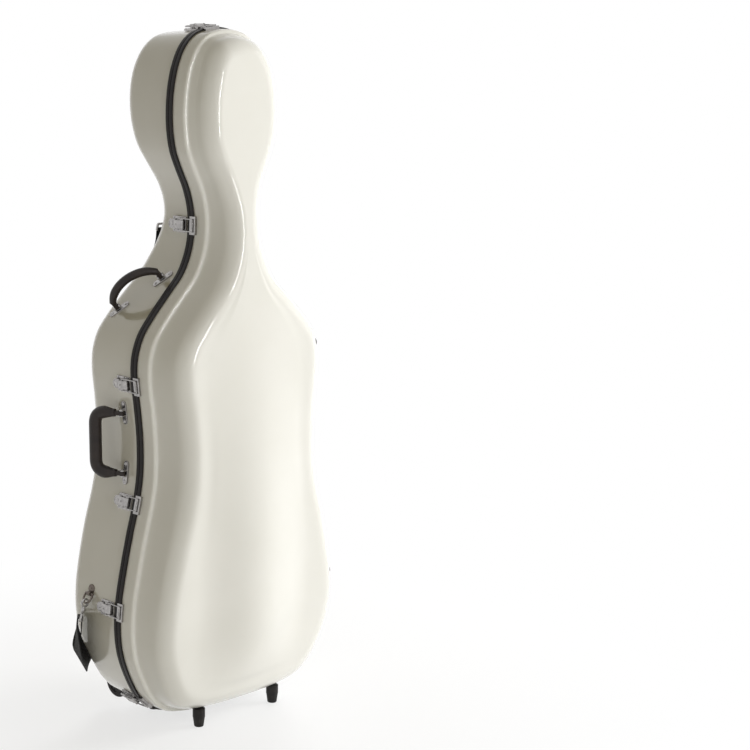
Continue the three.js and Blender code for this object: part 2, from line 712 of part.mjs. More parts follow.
// Lever about its pin: the frame's origin is on the pin
function latchLever() {
  const half = LATCH_EAR_INSIDE - GAP;
  const top = LEVER_TOP - LATCH_PIN_RISE;
  const boxEnd = LEVER_BOX_END - LATCH_PIN_PLACE;
  const tabLow = LEVER_TAB_RISE - LATCH_PIN_RISE;
  const tabHigh = tabLow + LEVER_TAB_THICK;
  const under = LATCH_PLATE_RISE + GAP - LATCH_PIN_RISE;
  const profile = [
    ...arc(0, 0, LEVER_BARREL, 90, 270), [LEVER_BARREL, under], [boxEnd - top, under],
    [boxEnd, tabLow], [boxEnd, tabHigh], [boxEnd - top / 2, top],
  ];
  const tabEnd = LEVER_TAB_END - LATCH_PIN_PLACE;
  const tabHalf = LEVER_TAB_WIDTH / 2;
  const tab = new THREE.Shape();
  tab.moveTo(-tabHalf, boxEnd - GAP);
  tab.lineTo(tabHalf, boxEnd - GAP);
  tab.lineTo(tabHalf, tabEnd - tabHalf);
  tab.absarc(0, tabEnd - tabHalf, tabHalf, 0, Math.PI);
  const options = { depth: LEVER_TAB_THICK, bevelEnabled: false, curveSegments: 3 };
  const tabPlate = new THREE.ExtrudeGeometry(tab, options).translate(0, 0, tabLow);
  const bore = rod("x", LATCH_PIN_RADIUS + GAP, 2 * half + OVERRUN, 0, 0, 0, PIN_ROUND);
  const pinHalf = BAIL_WIDTH / 2;
  const bailPin = rod("x", BAIL_PIN_RADIUS, 2 * pinHalf, 0, LEVER_THROW, 0, PIN_ROUND);
  const slotStart = (LEVER_BARREL + boxEnd) / 2;
  const slotHalf = LEVER_SLOT_WIDTH / 2;
  const slot = box(-slotHalf, slotHalf, slotStart, slotStart + LEVER_SLOT_LENGTH,
    top - LEVER_SLOT_DEPTH, top + OVERRUN);
  const body = join(solid(bar(profile, -half, half)), solid(tabPlate), solid(bailPin));
  return toGeometry(cut(body, solid(bore), solid(slot)));
}

// Bail about its own pin in the lever: a flat loop that reaches over the keeper's lip
function latchBail() {
  const inside = LATCH_EAR_INSIDE + LATCH_EAR_THICK + GAP;
  const outside = BAIL_WIDTH / 2 - GAP;
  const low = BAIL_LOW - LATCH_PIN_RISE;
  const high = BAIL_HIGH - LATCH_PIN_RISE;
  const pinPlace = LATCH_PIN_PLACE + LEVER_THROW;
  const front = -BAIL_REACH - pinPlace;
  const leg = [[front, low], [-BAIL_EYE, low], ...arc(0, 0, BAIL_EYE, -120, 140, 4), [front, high]];
  const legs = [-outside, inside].map((start) => solid(bar(leg, start, start + outside - inside)));
  const bore = rod("x", BAIL_PIN_RADIUS + GAP, 2 * outside + OVERRUN, 0, 0, 0, PIN_ROUND);
  const crossBar = box(-outside, outside, front, front + BAIL_BAR, low, high);
  return toGeometry(cut(join(...legs, solid(crossBar)), solid(bore)));
}

const latchFrames = latchShares.map(([name, side, share]) => {
  return { name, frame: wallFrame(wallAt(side, share * CASE_HEIGHT, 0, KEEPER_WIDTH / 2)) };
});

function inFrame(manifold, frame) {
  return manifold.transform(frame.elements);
}

// Hinge axis: a straight line through both hinges, just outside the band
const hingeLow = wallAt(1, hingeShares.lower * CASE_HEIGHT, 0, HINGE_LENGTH / 2);
const hingeHigh = wallAt(1, hingeShares.upper * CASE_HEIGHT, 0, HINGE_LENGTH / 2);
const hingeFrame = axisFrame(hingeHigh, hingeLow, SHELL_INSET + HINGE_RISE);
const hingeAlong = vec().setFromMatrixColumn(hingeFrame, 0);

function hingeAt(wall) {
  const centre = vec().setFromMatrixPosition(hingeFrame);
  const travel = wall.point.clone().sub(centre).dot(hingeAlong);
  const frame = hingeFrame.clone();
  return frame.setPosition(centre.addScaledVector(hingeAlong, travel));
}

// One hinge: the base leaf holds the two outer knuckles and the pin
function hingeLeaves(wall) {
  const frame = hingeAt(wall);
  const plateFrame = wallFrame(wall);
  const half = HINGE_LENGTH / 2;
  const knuckle = HINGE_LENGTH / 6;
  const rise = SHELL_INSET + HINGE_RISE;
  const leaf = (direction) => {
    const y = (value) => direction * value;
    const ordered = (a, b) => [Math.min(y(a), y(b)), Math.max(y(a), y(b))];
    const start = BAND_WIDTH + 2 * GAP;
    const long = half + HINGE_LEAF / 2;
    const flange = box(-long, long, ...ordered(start - GAP, HINGE_LEAF_END), -WALL, HINGE_LEAF + GAP);
    const low = GAP - HINGE_KNUCKLE;
    const short = half - GAP;
    const riser = box(-short, short, ...ordered(start, start + HINGE_LEAF), -rise, low + HINGE_LEAF);
    const link = box(-short, short, ...ordered(0, start + HINGE_LEAF), low, low + HINGE_LEAF);
    const barrel = rod("x", HINGE_KNUCKLE, HINGE_LENGTH, 0, 0, 0);
    const pinSide = inFrame(join(solid(link), solid(riser), solid(barrel)), frame);
    return join(inFrame(solid(flange), plateFrame), pinSide);
  };
  const pinHole = inFrame(solid(rod("x", HINGE_PIN + GAP, 2 * HINGE_LENGTH, 0, 0, 0)), frame);
  const swing = HINGE_KNUCKLE + GAP;
  const band = HINGE_LEAF_END + OVERRUN;
  const reach = knuckle + GAP;
  const middle = inFrame(solid(box(-reach, reach, -band, swing, -swing, swing + OVERRUN)), frame);
  const ends = [-1, 1].map((side) => {
    const inner = side * knuckle;
    const outer = side * (half + OVERRUN);
    const span = [Math.min(inner, outer), Math.max(inner, outer)];
    return inFrame(solid(box(...span, -swing, band, -swing, swing + OVERRUN)), frame);
  });
  const pin = inFrame(join(
    solid(rod("x", HINGE_PIN, HINGE_LENGTH + HINGE_LEAF, 0, 0, 0)),
    solid(rod("x", HINGE_PIN_HEAD, HINGE_LEAF, half + HINGE_LEAF / 2, 0, 0)),
  ), frame);
  const baseLeaf = join(cut(leaf(1), middle, baseCore), pin);
  const lidLeaf = cut(leaf(-1), ...ends, pinHole, lidCore);
  return { baseLeaf: toGeometry(baseLeaf), lidLeaf: toGeometry(lidLeaf) };
}

// Path of a carrying grip with straight legs and a straight middle
function squarePath(half, reach, bend) {
  const path = new THREE.CurvePath();
  const corner = (side) => [
    vec(side * half, 0, reach - bend), vec(side * half, 0, reach), vec(side * (half - bend), 0, reach),
  ];
  const [a, b, c] = corner(-1);
  const [f, e, d] = corner(1);
  path.add(new THREE.LineCurve3(vec(-half, 0, GRIP_START), a));
  path.add(new THREE.QuadraticBezierCurve3(a, b, c));
  path.add(new THREE.LineCurve3(c, d));
  path.add(new THREE.QuadraticBezierCurve3(d, e, f));
  path.add(new THREE.LineCurve3(f, vec(half, 0, GRIP_START)));
  return path;
}

// Path of a carrying grip that is one arch; its legs lean in by an amount
function archPath(half, reach, leanIn) {
  const high = (4 * reach - GRIP_START) / 3;
  const ends = [vec(-half, 0, GRIP_START), vec(half, 0, GRIP_START)];
  return new THREE.CubicBezierCurve3(ends[0], vec(leanIn - half, 0, high), vec(half - leanIn, 0, high), ends[1]);
}

// A carrying grip about its pivot line: x along the pivots, z away from the wall
function gripAbout(span, path, radius) {
  const half = span / 2;
  const pieces = [solid(tube(path, radius, GRIP_STEPS, ROUND))];
  const bores = [];
  const tip = arc(0, 0, TONGUE_RADIUS, 180, 360);
  const tongue = [[-TONGUE_RADIUS, TONGUE_LENGTH], ...tip, [TONGUE_RADIUS, TONGUE_LENGTH]];
  for (const x of [-half, half]) {
    const start = x - TONGUE_THICK / 2;
    pieces.push(solid(bar(tongue, start, start + TONGUE_THICK)));
    bores.push(solid(rod("x", BRACKET_PIN + GAP, TONGUE_THICK + OVERRUN, x, 0, 0)));
  }
  return cut(join(...pieces), ...bores);
}

// A handle bracket: a rounded plate on the wall, two ears and a pin on the pivot line
function handleBracket(wall, along, pivotFrame, travel) {
  const halfLength = BRACKET_LENGTH / 2;
  const halfWidth = BRACKET_WIDTH / 2;
  const normal = wall.tilted.clone();
  const x = along.clone().addScaledVector(normal, -along.dot(normal)).normalize();
  const plateFrame = new THREE.Matrix4().makeBasis(x, normal, x.clone().cross(normal));
  plateFrame.setPosition(wall.point);
  const corner = halfWidth - FINEST_EDGE;
  const outlineShape = roundedRectangle(-halfLength, halfLength, -halfWidth, halfWidth, corner);
  const foot = inFrame(solid(plate(outlineShape, -WALL, BRACKET_THICK, 1)), plateFrame);
  const pieces = [foot];
  const inner = TONGUE_THICK / 2 + GAP;
  const foothold = -BRACKET_PIVOT - WALL;
  const earTip = arc(0, 0, BRACKET_EAR_RADIUS, 0, 180);
  const ear = [[-BRACKET_EAR_RADIUS, foothold], [BRACKET_EAR_RADIUS, foothold], ...earTip];
  for (const start of [travel - inner - BRACKET_EAR, travel + inner]) {
    pieces.push(inFrame(solid(bar(ear, start, start + BRACKET_EAR)), pivotFrame));
  }
  const pinLength = 2 * inner + BRACKET_EAR;
  pieces.push(inFrame(solid(rod("x", BRACKET_PIN, pinLength, travel, 0, 0)), pivotFrame));
  return toGeometry(cut(join(...pieces), baseCore));
}

// A handle between two wall places: the grip leans from straight out towards the back
function addHandle(name, low, high, grip, lean) {
  const frame = axisFrame(low, high, BRACKET_PIVOT);
  const along = vec().setFromMatrixColumn(frame, 0);
  const span = high.point.distanceTo(low.point);
  add(`${name}_bracket_lower`, handleBracket(low, along, frame, -span / 2), materials.metal);
  add(`${name}_bracket_upper`, handleBracket(high, along, frame, span / 2), materials.metal);
  const across = vec().setFromMatrixColumn(frame, 1);
  const turn = (Math.sign(across.y) * -lean * Math.PI) / 2;
  const leaned = frame.clone().multiply(new THREE.Matrix4().makeRotationX(turn));
  add(`${name}_grip`, toGeometry(grip(span)), materials.grip, leaned);
}

// Pull handle: its frame sits on the pivot line, y out of the face, z up the face
const pullPivot = pullShares.pivot * CASE_HEIGHT;
const pullLoopEnd = pullPivot - PULL_LOOP_DROP - PULL_LOOP_HEIGHT;
const pullTop = vec(0, baseDepth(pullPivot), pullPivot);
const pullFoot = vec(0, baseDepth(pullLoopEnd), pullLoopEnd);
const pullUp = pullTop.clone().sub(pullFoot).normalize();
const pullOut = pullUp.clone().cross(vec(1, 0, 0));
const pullFrame = new THREE.Matrix4().makeBasis(vec(1, 0, 0), pullOut, pullUp);
pullFrame.setPosition(pullTop.clone().addScaledVector(pullOut, PULL_PIVOT_RISE + BASE_CROWN));

// The T-shaped outline of the pocket, wider by a margin, between two depths
function pullPocket(margin, from, to) {
  const loopHalf = PULL_LOOP_WIDTH / 2 + margin;
  const blockHalf = PULL_BLOCK_WIDTH / 2 + margin;
  const loopTop = margin - PULL_LOOP_DROP;
  const loopFoot = -PULL_LOOP_DROP - PULL_LOOP_HEIGHT - margin;
  const blockTop = PULL_BLOCK_ABOVE + margin;
  const corner = PULL_CORNER + margin;
  const loop = roundedRectangle(-loopHalf, loopHalf, loopFoot, loopTop, corner);
  const block = roundedRectangle(PULL_BLOCK_CENTRE - blockHalf, PULL_BLOCK_CENTRE + blockHalf,
    (loopFoot + loopTop) / 2, blockTop, corner / 2);
  return inFrame(join(solid(plate(loop, from, to)), solid(plate(block, from, to))), pullFrame);
}

const pullFloor = -(PULL_PIVOT_RISE + PULL_POCKET_DEPTH);
const pullKnuckleWidth = PULL_BLOCK_WIDTH / PULL_KNUCKLE_COUNT;

// Knuckles on the pivot line, turn about: those of the block and those of the handle
function pullKnuckles(moving) {
  const round = PULL_KNUCKLE;
  const blockEdge = -PULL_BLOCK_THICK / 2 - round;
  const still = [[blockEdge, -round], ...arc(0, 0, round, -90, 90), [blockEdge, round]];
  const swinging = [[-round, -2 * round], [0, -2 * round], ...arc(0, 0, round, 0, 180)];
  const pieces = [];
  for (let i = moving ? 1 : 0; i < PULL_KNUCKLE_COUNT; i += 2) {
    const start = PULL_BLOCK_CENTRE - PULL_BLOCK_WIDTH / 2 + i * pullKnuckleWidth;
    const [near, far] = [start + GAP, start + pullKnuckleWidth - GAP];
    pieces.push(solid(bar(moving ? swinging : still, near, far)));
    if (!moving) {
      pieces.push(solid(box(near, far, blockEdge, -3 * GAP, 0, PULL_BLOCK_ABOVE)));
    }
  }
  return pieces;
}

function pullHousing() {
  const half = PULL_BLOCK_WIDTH / 2;
  const behind = box(PULL_BLOCK_CENTRE - half, PULL_BLOCK_CENTRE + half, pullFloor + GAP,
    -PULL_KNUCKLE - 2 * GAP, -PULL_KNUCKLE, PULL_BLOCK_ABOVE);
  const pin = rod("x", PULL_PIN, PULL_BLOCK_WIDTH - 4 * GAP, PULL_BLOCK_CENTRE, 0, 0);
  return toGeometry(join(solid(behind), solid(pin), ...pullKnuckles(false)));
}

function pullHandle() {
  const front = -GAP;
  const back = -PULL_LOOP_THICK;
  const loopHalf = PULL_LOOP_WIDTH / 2;
  const openHalf = PULL_OPENING_WIDTH / 2;
  const loopFoot = -PULL_LOOP_DROP - PULL_LOOP_HEIGHT;
  const openFoot = -PULL_OPENING_DROP - PULL_OPENING_HEIGHT;
  const loop = roundedRectangle(-loopHalf, loopHalf, loopFoot, -PULL_LOOP_DROP, PULL_CORNER);
  const opening = roundedRectangle(-openHalf, openHalf, openFoot, -PULL_OPENING_DROP, PULL_CORNER / 2);
  const tongueHalf = PULL_TONGUE_WIDTH / 2;
  const tongue = box(PULL_BLOCK_CENTRE - tongueHalf, PULL_BLOCK_CENTRE + tongueHalf, back, front,
    GAP - PULL_OPENING_DROP, -PULL_KNUCKLE - 3 * GAP);
  const bore = rod("x", PULL_PIN + GAP, PULL_BLOCK_WIDTH + OVERRUN, PULL_BLOCK_CENTRE, 0, 0);
  const body = join(solid(plate(loop, back, front)), solid(tongue), ...pullKnuckles(true));
  const opened = cut(body, solid(plate(opening, back - OVERRUN, front + OVERRUN)), solid(bore));
  return toGeometry(opened);
}

// Wheel about its axle, which lies along x
function wheel() {
  const half = WHEEL_WIDTH / 2;
  const side = [
    [WHEEL_BORE, half + WHEEL_HUB_PROUD], [WHEEL_HUB, half + WHEEL_HUB_PROUD], [WHEEL_HUB, half - WHEEL_DISH],
    [WHEEL_RIM, half - WHEEL_DISH], [WHEEL_RIM, half], [WHEEL_RADIUS - WHEEL_TYRE_ROUND, half],
    [WHEEL_RADIUS, half - WHEEL_TYRE_ROUND],
  ];
  const other = side.map(([radius, place]) => [radius, -place]).reverse();
  const profile = [...side, ...other, side[0]].map(([radius, place]) => new THREE.Vector2(radius, place));
  return new THREE.LatheGeometry(profile, TURNS).rotateZ(Math.PI / 2);
}

const wheelPlace = wheelShares.place * HALF_WIDTH;
const wheelDepth = wheelShares.depth * BASE_DEPTH;
const housingHalf = WHEEL_WIDTH / 2 + HOUSING_CLEARANCE + HOUSING_WALL;

function housingBlock(side, margin, front, foot) {
  const x = side * wheelPlace;
  const corner = HOUSING_CORNER + margin;
  const low = foot;
  const high = HOUSING_TOP + margin;
  const near = wheelDepth - HOUSING_AHEAD - margin;
  const far = wheelDepth + HOUSING_BEHIND + margin + front;
  const profile = [
    [near, low], [near, high - corner], [near + corner, high], [far, high], [far, low],
  ];
  return solid(bar(profile, x - housingHalf - margin, x + housingHalf + margin));
}

const housingEnvelope = core(baseRings(stations, -HOUSING_WALL / 2, -GAP));

function wheelHousing(side) {
  const x = side * wheelPlace;
  const slotHalf = WHEEL_WIDTH / 2 + HOUSING_CLEARANCE;
  const block = housingBlock(side, 0, OVERRUN, 0).intersect(housingEnvelope);
  const boss = solid(rod("x", WHEEL_HUB, 2 * housingHalf, x, wheelDepth, WHEEL_HEIGHT));
  const slot = solid(box(x - slotHalf, x + slotHalf, wheelDepth - WHEEL_RADIUS - HOUSING_CLEARANCE,
    wheelDepth + HOUSING_BEHIND + 2 * OVERRUN, -OVERRUN, WHEEL_HEIGHT + WHEEL_RADIUS + HOUSING_CLEARANCE));
  const headPlace = x + side * (housingHalf + AXLE_HEAD_PROUD / 2);
  const axle = join(
    solid(rod("x", AXLE_RADIUS, 2 * housingHalf, x, wheelDepth, WHEEL_HEIGHT)),
    solid(rod("x", AXLE_HEAD, AXLE_HEAD_PROUD, headPlace, wheelDepth, WHEEL_HEIGHT, 6)),
  );
  return toGeometry(join(cut(join(block, boss), slot), axle));
}

// A rubber peg along +y, with a screw hole in its tip; it starts well below the surface
function peg(rise) {
  const profile = [
    [0, -OVERRUN], [PEG_BASE_RADIUS, -OVERRUN], [PEG_BASE_RADIUS, 0], [PEG_TIP_RADIUS, rise - PEG_ROUND],
    [PEG_TIP_RADIUS - PEG_ROUND, rise], [PEG_SCREW_RADIUS, rise], [PEG_SCREW_RADIUS, rise - PEG_SCREW_DEPTH],
    [0, rise - PEG_SCREW_DEPTH],
  ];
  return new THREE.LatheGeometry(profile.map(([radius, y]) => new THREE.Vector2(radius, y)), ROUND);
}

function addPeg(name, rise, direction, point, against) {
  const turn = new THREE.Quaternion().setFromUnitVectors(vec(0, 1, 0), direction.clone().normalize());
  const frame = new THREE.Matrix4().compose(point, turn, vec(1, 1, 1));
  add(name, toGeometry(cut(inFrame(solid(peg(rise)), frame), against)), materials.rubber);
}

// Ring plate with its lug, and the D ring that swings in it; x is the swing axis
function ringPlate() {
  const sink = WALL / 2;
  const disc = rod("y", RING_PLATE_RADIUS, RING_PLATE_THICK + sink, 0, (RING_PLATE_THICK - sink) / 2,
    RING_PLATE_RADIUS);
  const lugWidth = 2 * RING_LUG;
  const lug = rod("x", RING_LUG, lugWidth, 0, RING_LUG + GAP, 0);
  const bore = rod("x", RING_WIRE + GAP, lugWidth + OVERRUN, 0, RING_LUG + GAP, 0);
  const root = box(-RING_LUG, RING_LUG, -sink, RING_LUG, 0, RING_LUG);
  return cut(join(solid(disc), solid(root), solid(lug)), solid(bore));
}

function ringFrame(point, outward) {
  const x = outward.clone().cross(vec(0, 0, 1)).normalize();
  const up = x.clone().cross(outward);
  return new THREE.Matrix4().makeBasis(x, outward, up).setPosition(point);
}

function dRing() {
  const radius = RING_WIDTH / 2 - RING_WIRE;
  const path = new THREE.CurvePath();
  const straight = RING_DROP - radius - RING_WIRE;
  path.add(new THREE.LineCurve3(vec(radius, 0, 0), vec(radius, 0, -straight)));
  const arc = Array.from({ length: 9 }, (_, i) => {
    const angle = (Math.PI * i) / 8;
    return vec(radius * Math.cos(angle), 0, -straight - radius * Math.sin(angle));
  });
  path.add(new THREE.CatmullRomCurve3(arc));
  path.add(new THREE.LineCurve3(vec(-radius, 0, -straight), vec(-radius, 0, 0)));
  const crossBar = rod("x", RING_WIRE, 2 * radius + 2 * RING_WIRE, 0, 0, 0);
  return toGeometry(join(solid(tube(path, RING_WIRE, GRIP_STEPS, PIN_ROUND)), solid(crossBar)));
}

// A raised back rib: it runs down the face, over the lower corner and fades out
function backRib(side) {
  const x = side * RIB_OFFSET;
  const top = ribShares.top * CASE_HEIGHT;
  const full = ribShares.full * CASE_HEIGHT;
  const shellFoot = wallAt(1, CASE_HEIGHT * outlineShares.at(-2)[1]).point.z;
  const cornerFoot = shellFoot + BASE_DRAFT + BASE_CORNER;
  const places = [];
  for (let i = 0; i <= RIB_STEPS; i += 1) {
    const z = THREE.MathUtils.lerp(top, cornerFoot, (i / RIB_STEPS) ** ribShares.spacing);
    places.push({ y: baseDepth(z) + BASE_CROWN / 2, z, angle: 0, rise: 1 - smooth(z, full, top) });
  }
  const centre = baseDepth(cornerFoot) - BASE_CORNER;
  for (let i = 1; i <= ARC_STEPS + 1; i += 1) {
    const angle = ((Math.PI / 2) * i) / (ARC_STEPS + 1);
    places.push({
      y: centre + BASE_CORNER * Math.cos(angle),
      z: cornerFoot - BASE_CORNER * Math.sin(angle),
      angle,
      rise: 1,
    });
  }
  const last = places[places.length - 1];
  const foot = last.z - BASE_DRAFT * ribShares.foot;
  places.push({ ...last, y: last.y - RIB_WRAP / 2, z: foot, rise: ribShares.wrapped });
  places.push({ ...last, y: last.y - RIB_WRAP, z: foot, rise: 0 });
  const rings = places.map(({ y, z, angle, rise }) => {
    const height = (RIB_RISE + RIB_SINK) * rise;
    const half = ribSectionShares.map(([across, out]) => [(across * RIB_WIDTH) / 2, out * height - RIB_SINK]);
    const other = half.map(([across, out]) => [-across, out]).reverse();
    return [...half, ...other, [0, -RIB_SINK - FINEST_EDGE]].map(([across, out]) => {
      return vec(x + across, y + out * Math.cos(angle), z - out * Math.sin(angle));
    });
  });
  return solid(cappedSkin(rings));
}

const pullBackingTop = -PULL_PIVOT_RISE - BASE_CROWN - GAP;
const pullBacking = pullPocket(PULL_POCKET_WALL, pullFloor - PULL_POCKET_WALL, pullBackingTop);
const pullHollow = pullPocket(PULL_CLEARANCE, pullFloor, OVERRUN);
const pullShadow = pullPocket(PULL_POCKET_WALL + GAP, pullFloor - PULL_POCKET_WALL - GAP, OVERRUN);
const housingBlocks = [-1, 1].map((side) => housingBlock(side, GAP, 2 * OVERRUN, -OVERRUN));

// Places of the two strap rings
const neckRingHeight = ringShares.neck * CASE_HEIGHT;
const neckRingPlace = vec(0, baseDepth(neckRingHeight) + BASE_CROWN + RING_SEAT, neckRingHeight);
const sideRingWall = wallAt(-1, ringShares.side * CASE_HEIGHT, ringShares.sideDepth * BASE_DEPTH);
const neckRingFrame = ringFrame(neckRingPlace, vec(0, 1, 0));
const sideRingFrame = ringFrame(sideRingWall.point, sideRingWall.tilted);

function baseShell() {
  const bare = shellBetween(baseRings(stations, 0, RIM), baseRings(stations, WALL, RIM, 2, [1]));
  const ribs = [-1, 1].map(backRib);
  const latches = latchFrames.map(({ frame }) => inFrame(latchBase(), frame));
  const plates = [neckRingFrame, sideRingFrame].map((frame) => inFrame(ringPlate(), frame));
  const fittings = cut(join(...ribs, ...latches, ...plates), baseHollow);
  const headRecesses = [-1, 1].map((side) => solid(rod("x", AXLE_HEAD + 2 * GAP, OVERRUN,
    side * (wheelPlace + housingHalf + OVERRUN / 2), wheelDepth, WHEEL_HEIGHT)));
  return cut(join(bare, fittings, pullBacking), pullHollow, ...housingBlocks, ...headRecesses);
}

function lidShell() {
  const bare = shellBetween(lidRings(stations, 0, RIM), lidRings(stations, WALL, RIM, 2, lidInnerShares));
  const keepers = latchFrames.map(({ frame }) => inFrame(latchKeeper(), frame));
  return join(mirrorToLid(bare), cut(join(...keepers), lidHollow));
}

// An edge band: an outer leg over the shell's side and a cap over its rim
function edgeBand() {
  const inner = SHELL_INSET + WALL;
  const section = [
    [0, BAND_WIDTH], [0, GAP], [inner, GAP], [inner, GAP + BAND_CAP],
    [BAND_PROUD, GAP + BAND_CAP], [BAND_PROUD, BAND_WIDTH],
  ];
  return solid(skin(section.map(([inset, depth]) => ringAt(stations, inset, depth)), true));
}

// Lining: a padded skin that follows the inside of its shell
function lining(rings, faceShares) {
  const outer = rings(stations, WALL + GAP, RIM, 2, faceShares);
  return shellBetween(outer, rings(stations, WALL + GAP + LINING, RIM, 1, faceShares));
}

const liningHollow = core(baseRings(stations, WALL + GAP + LINING / 2, -GAP, 1, [1]));

function neckRest() {
  const foot = neckRestShares.foot * CASE_HEIGHT;
  const top = foot + NECK_REST_LENGTH;
  const half = NECK_NOTCH_WIDTH / 2;
  const notch = roundedRectangle(-half, half, NECK_REST_START - OVERRUN, NECK_REST_START + NECK_NOTCH_DEPTH,
    NECK_NOTCH_CORNER);
  const block = box(-HALF_WIDTH, HALF_WIDTH, NECK_REST_START, BASE_DEPTH, foot, top);
  const options = { depth: NECK_REST_LENGTH + 2 * OVERRUN, bevelEnabled: false, curveSegments: 3 };
  const tool = new THREE.ExtrudeGeometry(notch, options).translate(0, 0, foot - OVERRUN);
  return cut(solid(block), solid(tool)).intersect(liningHollow);
}

add("base_shell", toGeometry(baseShell()), materials.shell);
add("lid_shell", toGeometry(lidShell()), materials.shell);
add("base_edge_band", toGeometry(edgeBand()), materials.band);
add("lid_edge_band", toGeometry(mirrorToLid(edgeBand())), materials.band);
const baseLining = cut(join(lining(baseRings, [1]), neckRest()), pullShadow, ...housingBlocks);
add("base_lining", toGeometry(baseLining), materials.lining);
add("lid_lining", toGeometry(mirrorToLid(lining(lidRings, lidInnerShares))), materials.lining);

const lever = latchLever();
const bail = latchBail();
for (const { name, frame } of latchFrames) {
  const pin = new THREE.Matrix4().makeTranslation(0, LATCH_PIN_PLACE, LATCH_PIN_RISE);
  const bailPin = new THREE.Matrix4().makeTranslation(0, LATCH_PIN_PLACE + LEVER_THROW, LATCH_PIN_RISE);
  add(`latch_lever_${name}`, lever, materials.metal, frame.clone().multiply(pin));
  add(`latch_bail_${name}`, bail, materials.metal, frame.clone().multiply(bailPin));
}

for (const [name, wall] of [["upper", hingeHigh], ["lower", hingeLow]]) {
  const { baseLeaf, lidLeaf } = hingeLeaves(wall);
  add(`hinge_${name}_base_leaf`, baseLeaf, materials.metal);
  add(`hinge_${name}_lid_leaf`, lidLeaf, materials.metal);
}

const sideHandleDepth = sideHandleShares.depth * BASE_DEPTH;
const sideLow = wallAt(-1, sideHandleShares.low * CASE_HEIGHT, sideHandleDepth);
const sideHigh = wallAt(-1, sideHandleShares.high * CASE_HEIGHT, sideHandleDepth);
const sideGrip = (span) => {
  return gripAbout(span, squarePath(span / 2, SIDE_GRIP_REACH, SIDE_GRIP_BEND), SIDE_GRIP_RADIUS);
};
addHandle("side_handle", sideLow, sideHigh, sideGrip, leanShares.side);
const shoulderGrip = (span) => {
  return gripAbout(span, archPath(span / 2, SHOULDER_GRIP_REACH, SHOULDER_GRIP_INWARD), SHOULDER_GRIP_RADIUS);
};
for (const [name, side] of [["left", -1], ["right", 1]]) {
  const low = wallAt(side, shoulderShares.low * CASE_HEIGHT, shoulderDepthShares.low * BASE_DEPTH);
  const high = wallAt(side, shoulderShares.high * CASE_HEIGHT, shoulderDepthShares.high * BASE_DEPTH);
  addHandle(`shoulder_handle_${name}`, low, high, shoulderGrip, leanShares.shoulder);
}

add("pull_handle_hinge_block", pullHousing(), materials.plastic, pullFrame);
add("pull_handle", pullHandle(), materials.plastic, pullFrame);

for (const [name, side] of [["left", -1], ["right", 1]]) {
  add(`wheel_housing_${name}`, wheelHousing(side), materials.plastic);
  const axle = new THREE.Matrix4().makeTranslation(side * wheelPlace, wheelDepth, WHEEL_HEIGHT);
  add(`wheel_${name}`, closed(wheel()), materials.tyre, axle);
}

for (const [name, side] of [["left", -1], ["right", 1]]) {
  for (const [level, [place, height]] of Object.entries(pegShares)) {
    const z = height * CASE_HEIGHT;
    const point = vec(side * place * HALF_WIDTH, baseDepth(z), z);
    addPeg(`back_peg_${level}_${name}`, PEG_RISE, vec(0, 1, 0), point, baseCore);
  }
  const x = side * footShares.place * HALF_WIDTH;
  const baseFoot = vec(x, footShares.base * BASE_DEPTH, FOOT_LENGTH);
  const lidFoot = vec(x, -footShares.lid * LID_DEPTH, FOOT_LENGTH);
  addPeg(`base_foot_${name}`, FOOT_LENGTH, vec(0, 0, -1), baseFoot, baseCore);
  addPeg(`lid_foot_${name}`, FOOT_LENGTH, vec(0, 0, -1), lidFoot, lidCore);
}
for (const [name, [baseShare, lidShare]] of Object.entries(bumperShares)) {
  const base = wallAt(1, baseShare * CASE_HEIGHT, bumperDepthShares.base * BASE_DEPTH);
  const lid = wallAt(1, lidShare * CASE_HEIGHT);
  const lidPoint = lid.point.addScaledVector(lid.normal, -LID_STEP - LID_STEP_ROUND - LID_STRIP_DRAFT);
  lidPoint.setY(-bumperDepthShares.lid * LID_DEPTH);
  addPeg(`base_bumper_${name}`, BUMPER_RISE, base.normal, base.point, baseCore);
  addPeg(`lid_bumper_${name}`, BUMPER_RISE, lid.normal, lidPoint, lidCore);
}

const ring = dRing();
for (const [name, frame] of [["neck", neckRingFrame], ["side", sideRingFrame]]) {
  const lean = new THREE.Matrix4().makeRotationX((leanShares.ring * Math.PI) / 2);
  const pivot = lean.setPosition(0, RING_LUG + GAP, 0);
  add(`${name}_ring`, ring, materials.metal, frame.clone().multiply(pivot));
}

// A flat band along a route: each place has its point and the direction across the band
function ribbon(route, width, thick) {
  const middles = route.map(([point]) => point.clone());
  return route.map(([, across], i) => {
    const before = middles[Math.max(i - 1, 0)];
    const after = middles[Math.min(i + 1, route.length - 1)];
    const along = after.clone().sub(before).normalize();
    const side = vec(...across);
    side.addScaledVector(along, -side.dot(along)).setLength(width / 2);
    const out = along.clone().cross(side).setLength(thick / 2);
    const corners = [[1, 1], [-1, 1], [-1, -1], [1, -1]];
    return corners.map(([a, b]) => middles[i].clone().addScaledVector(side, a).addScaledVector(out, b));
  });
}

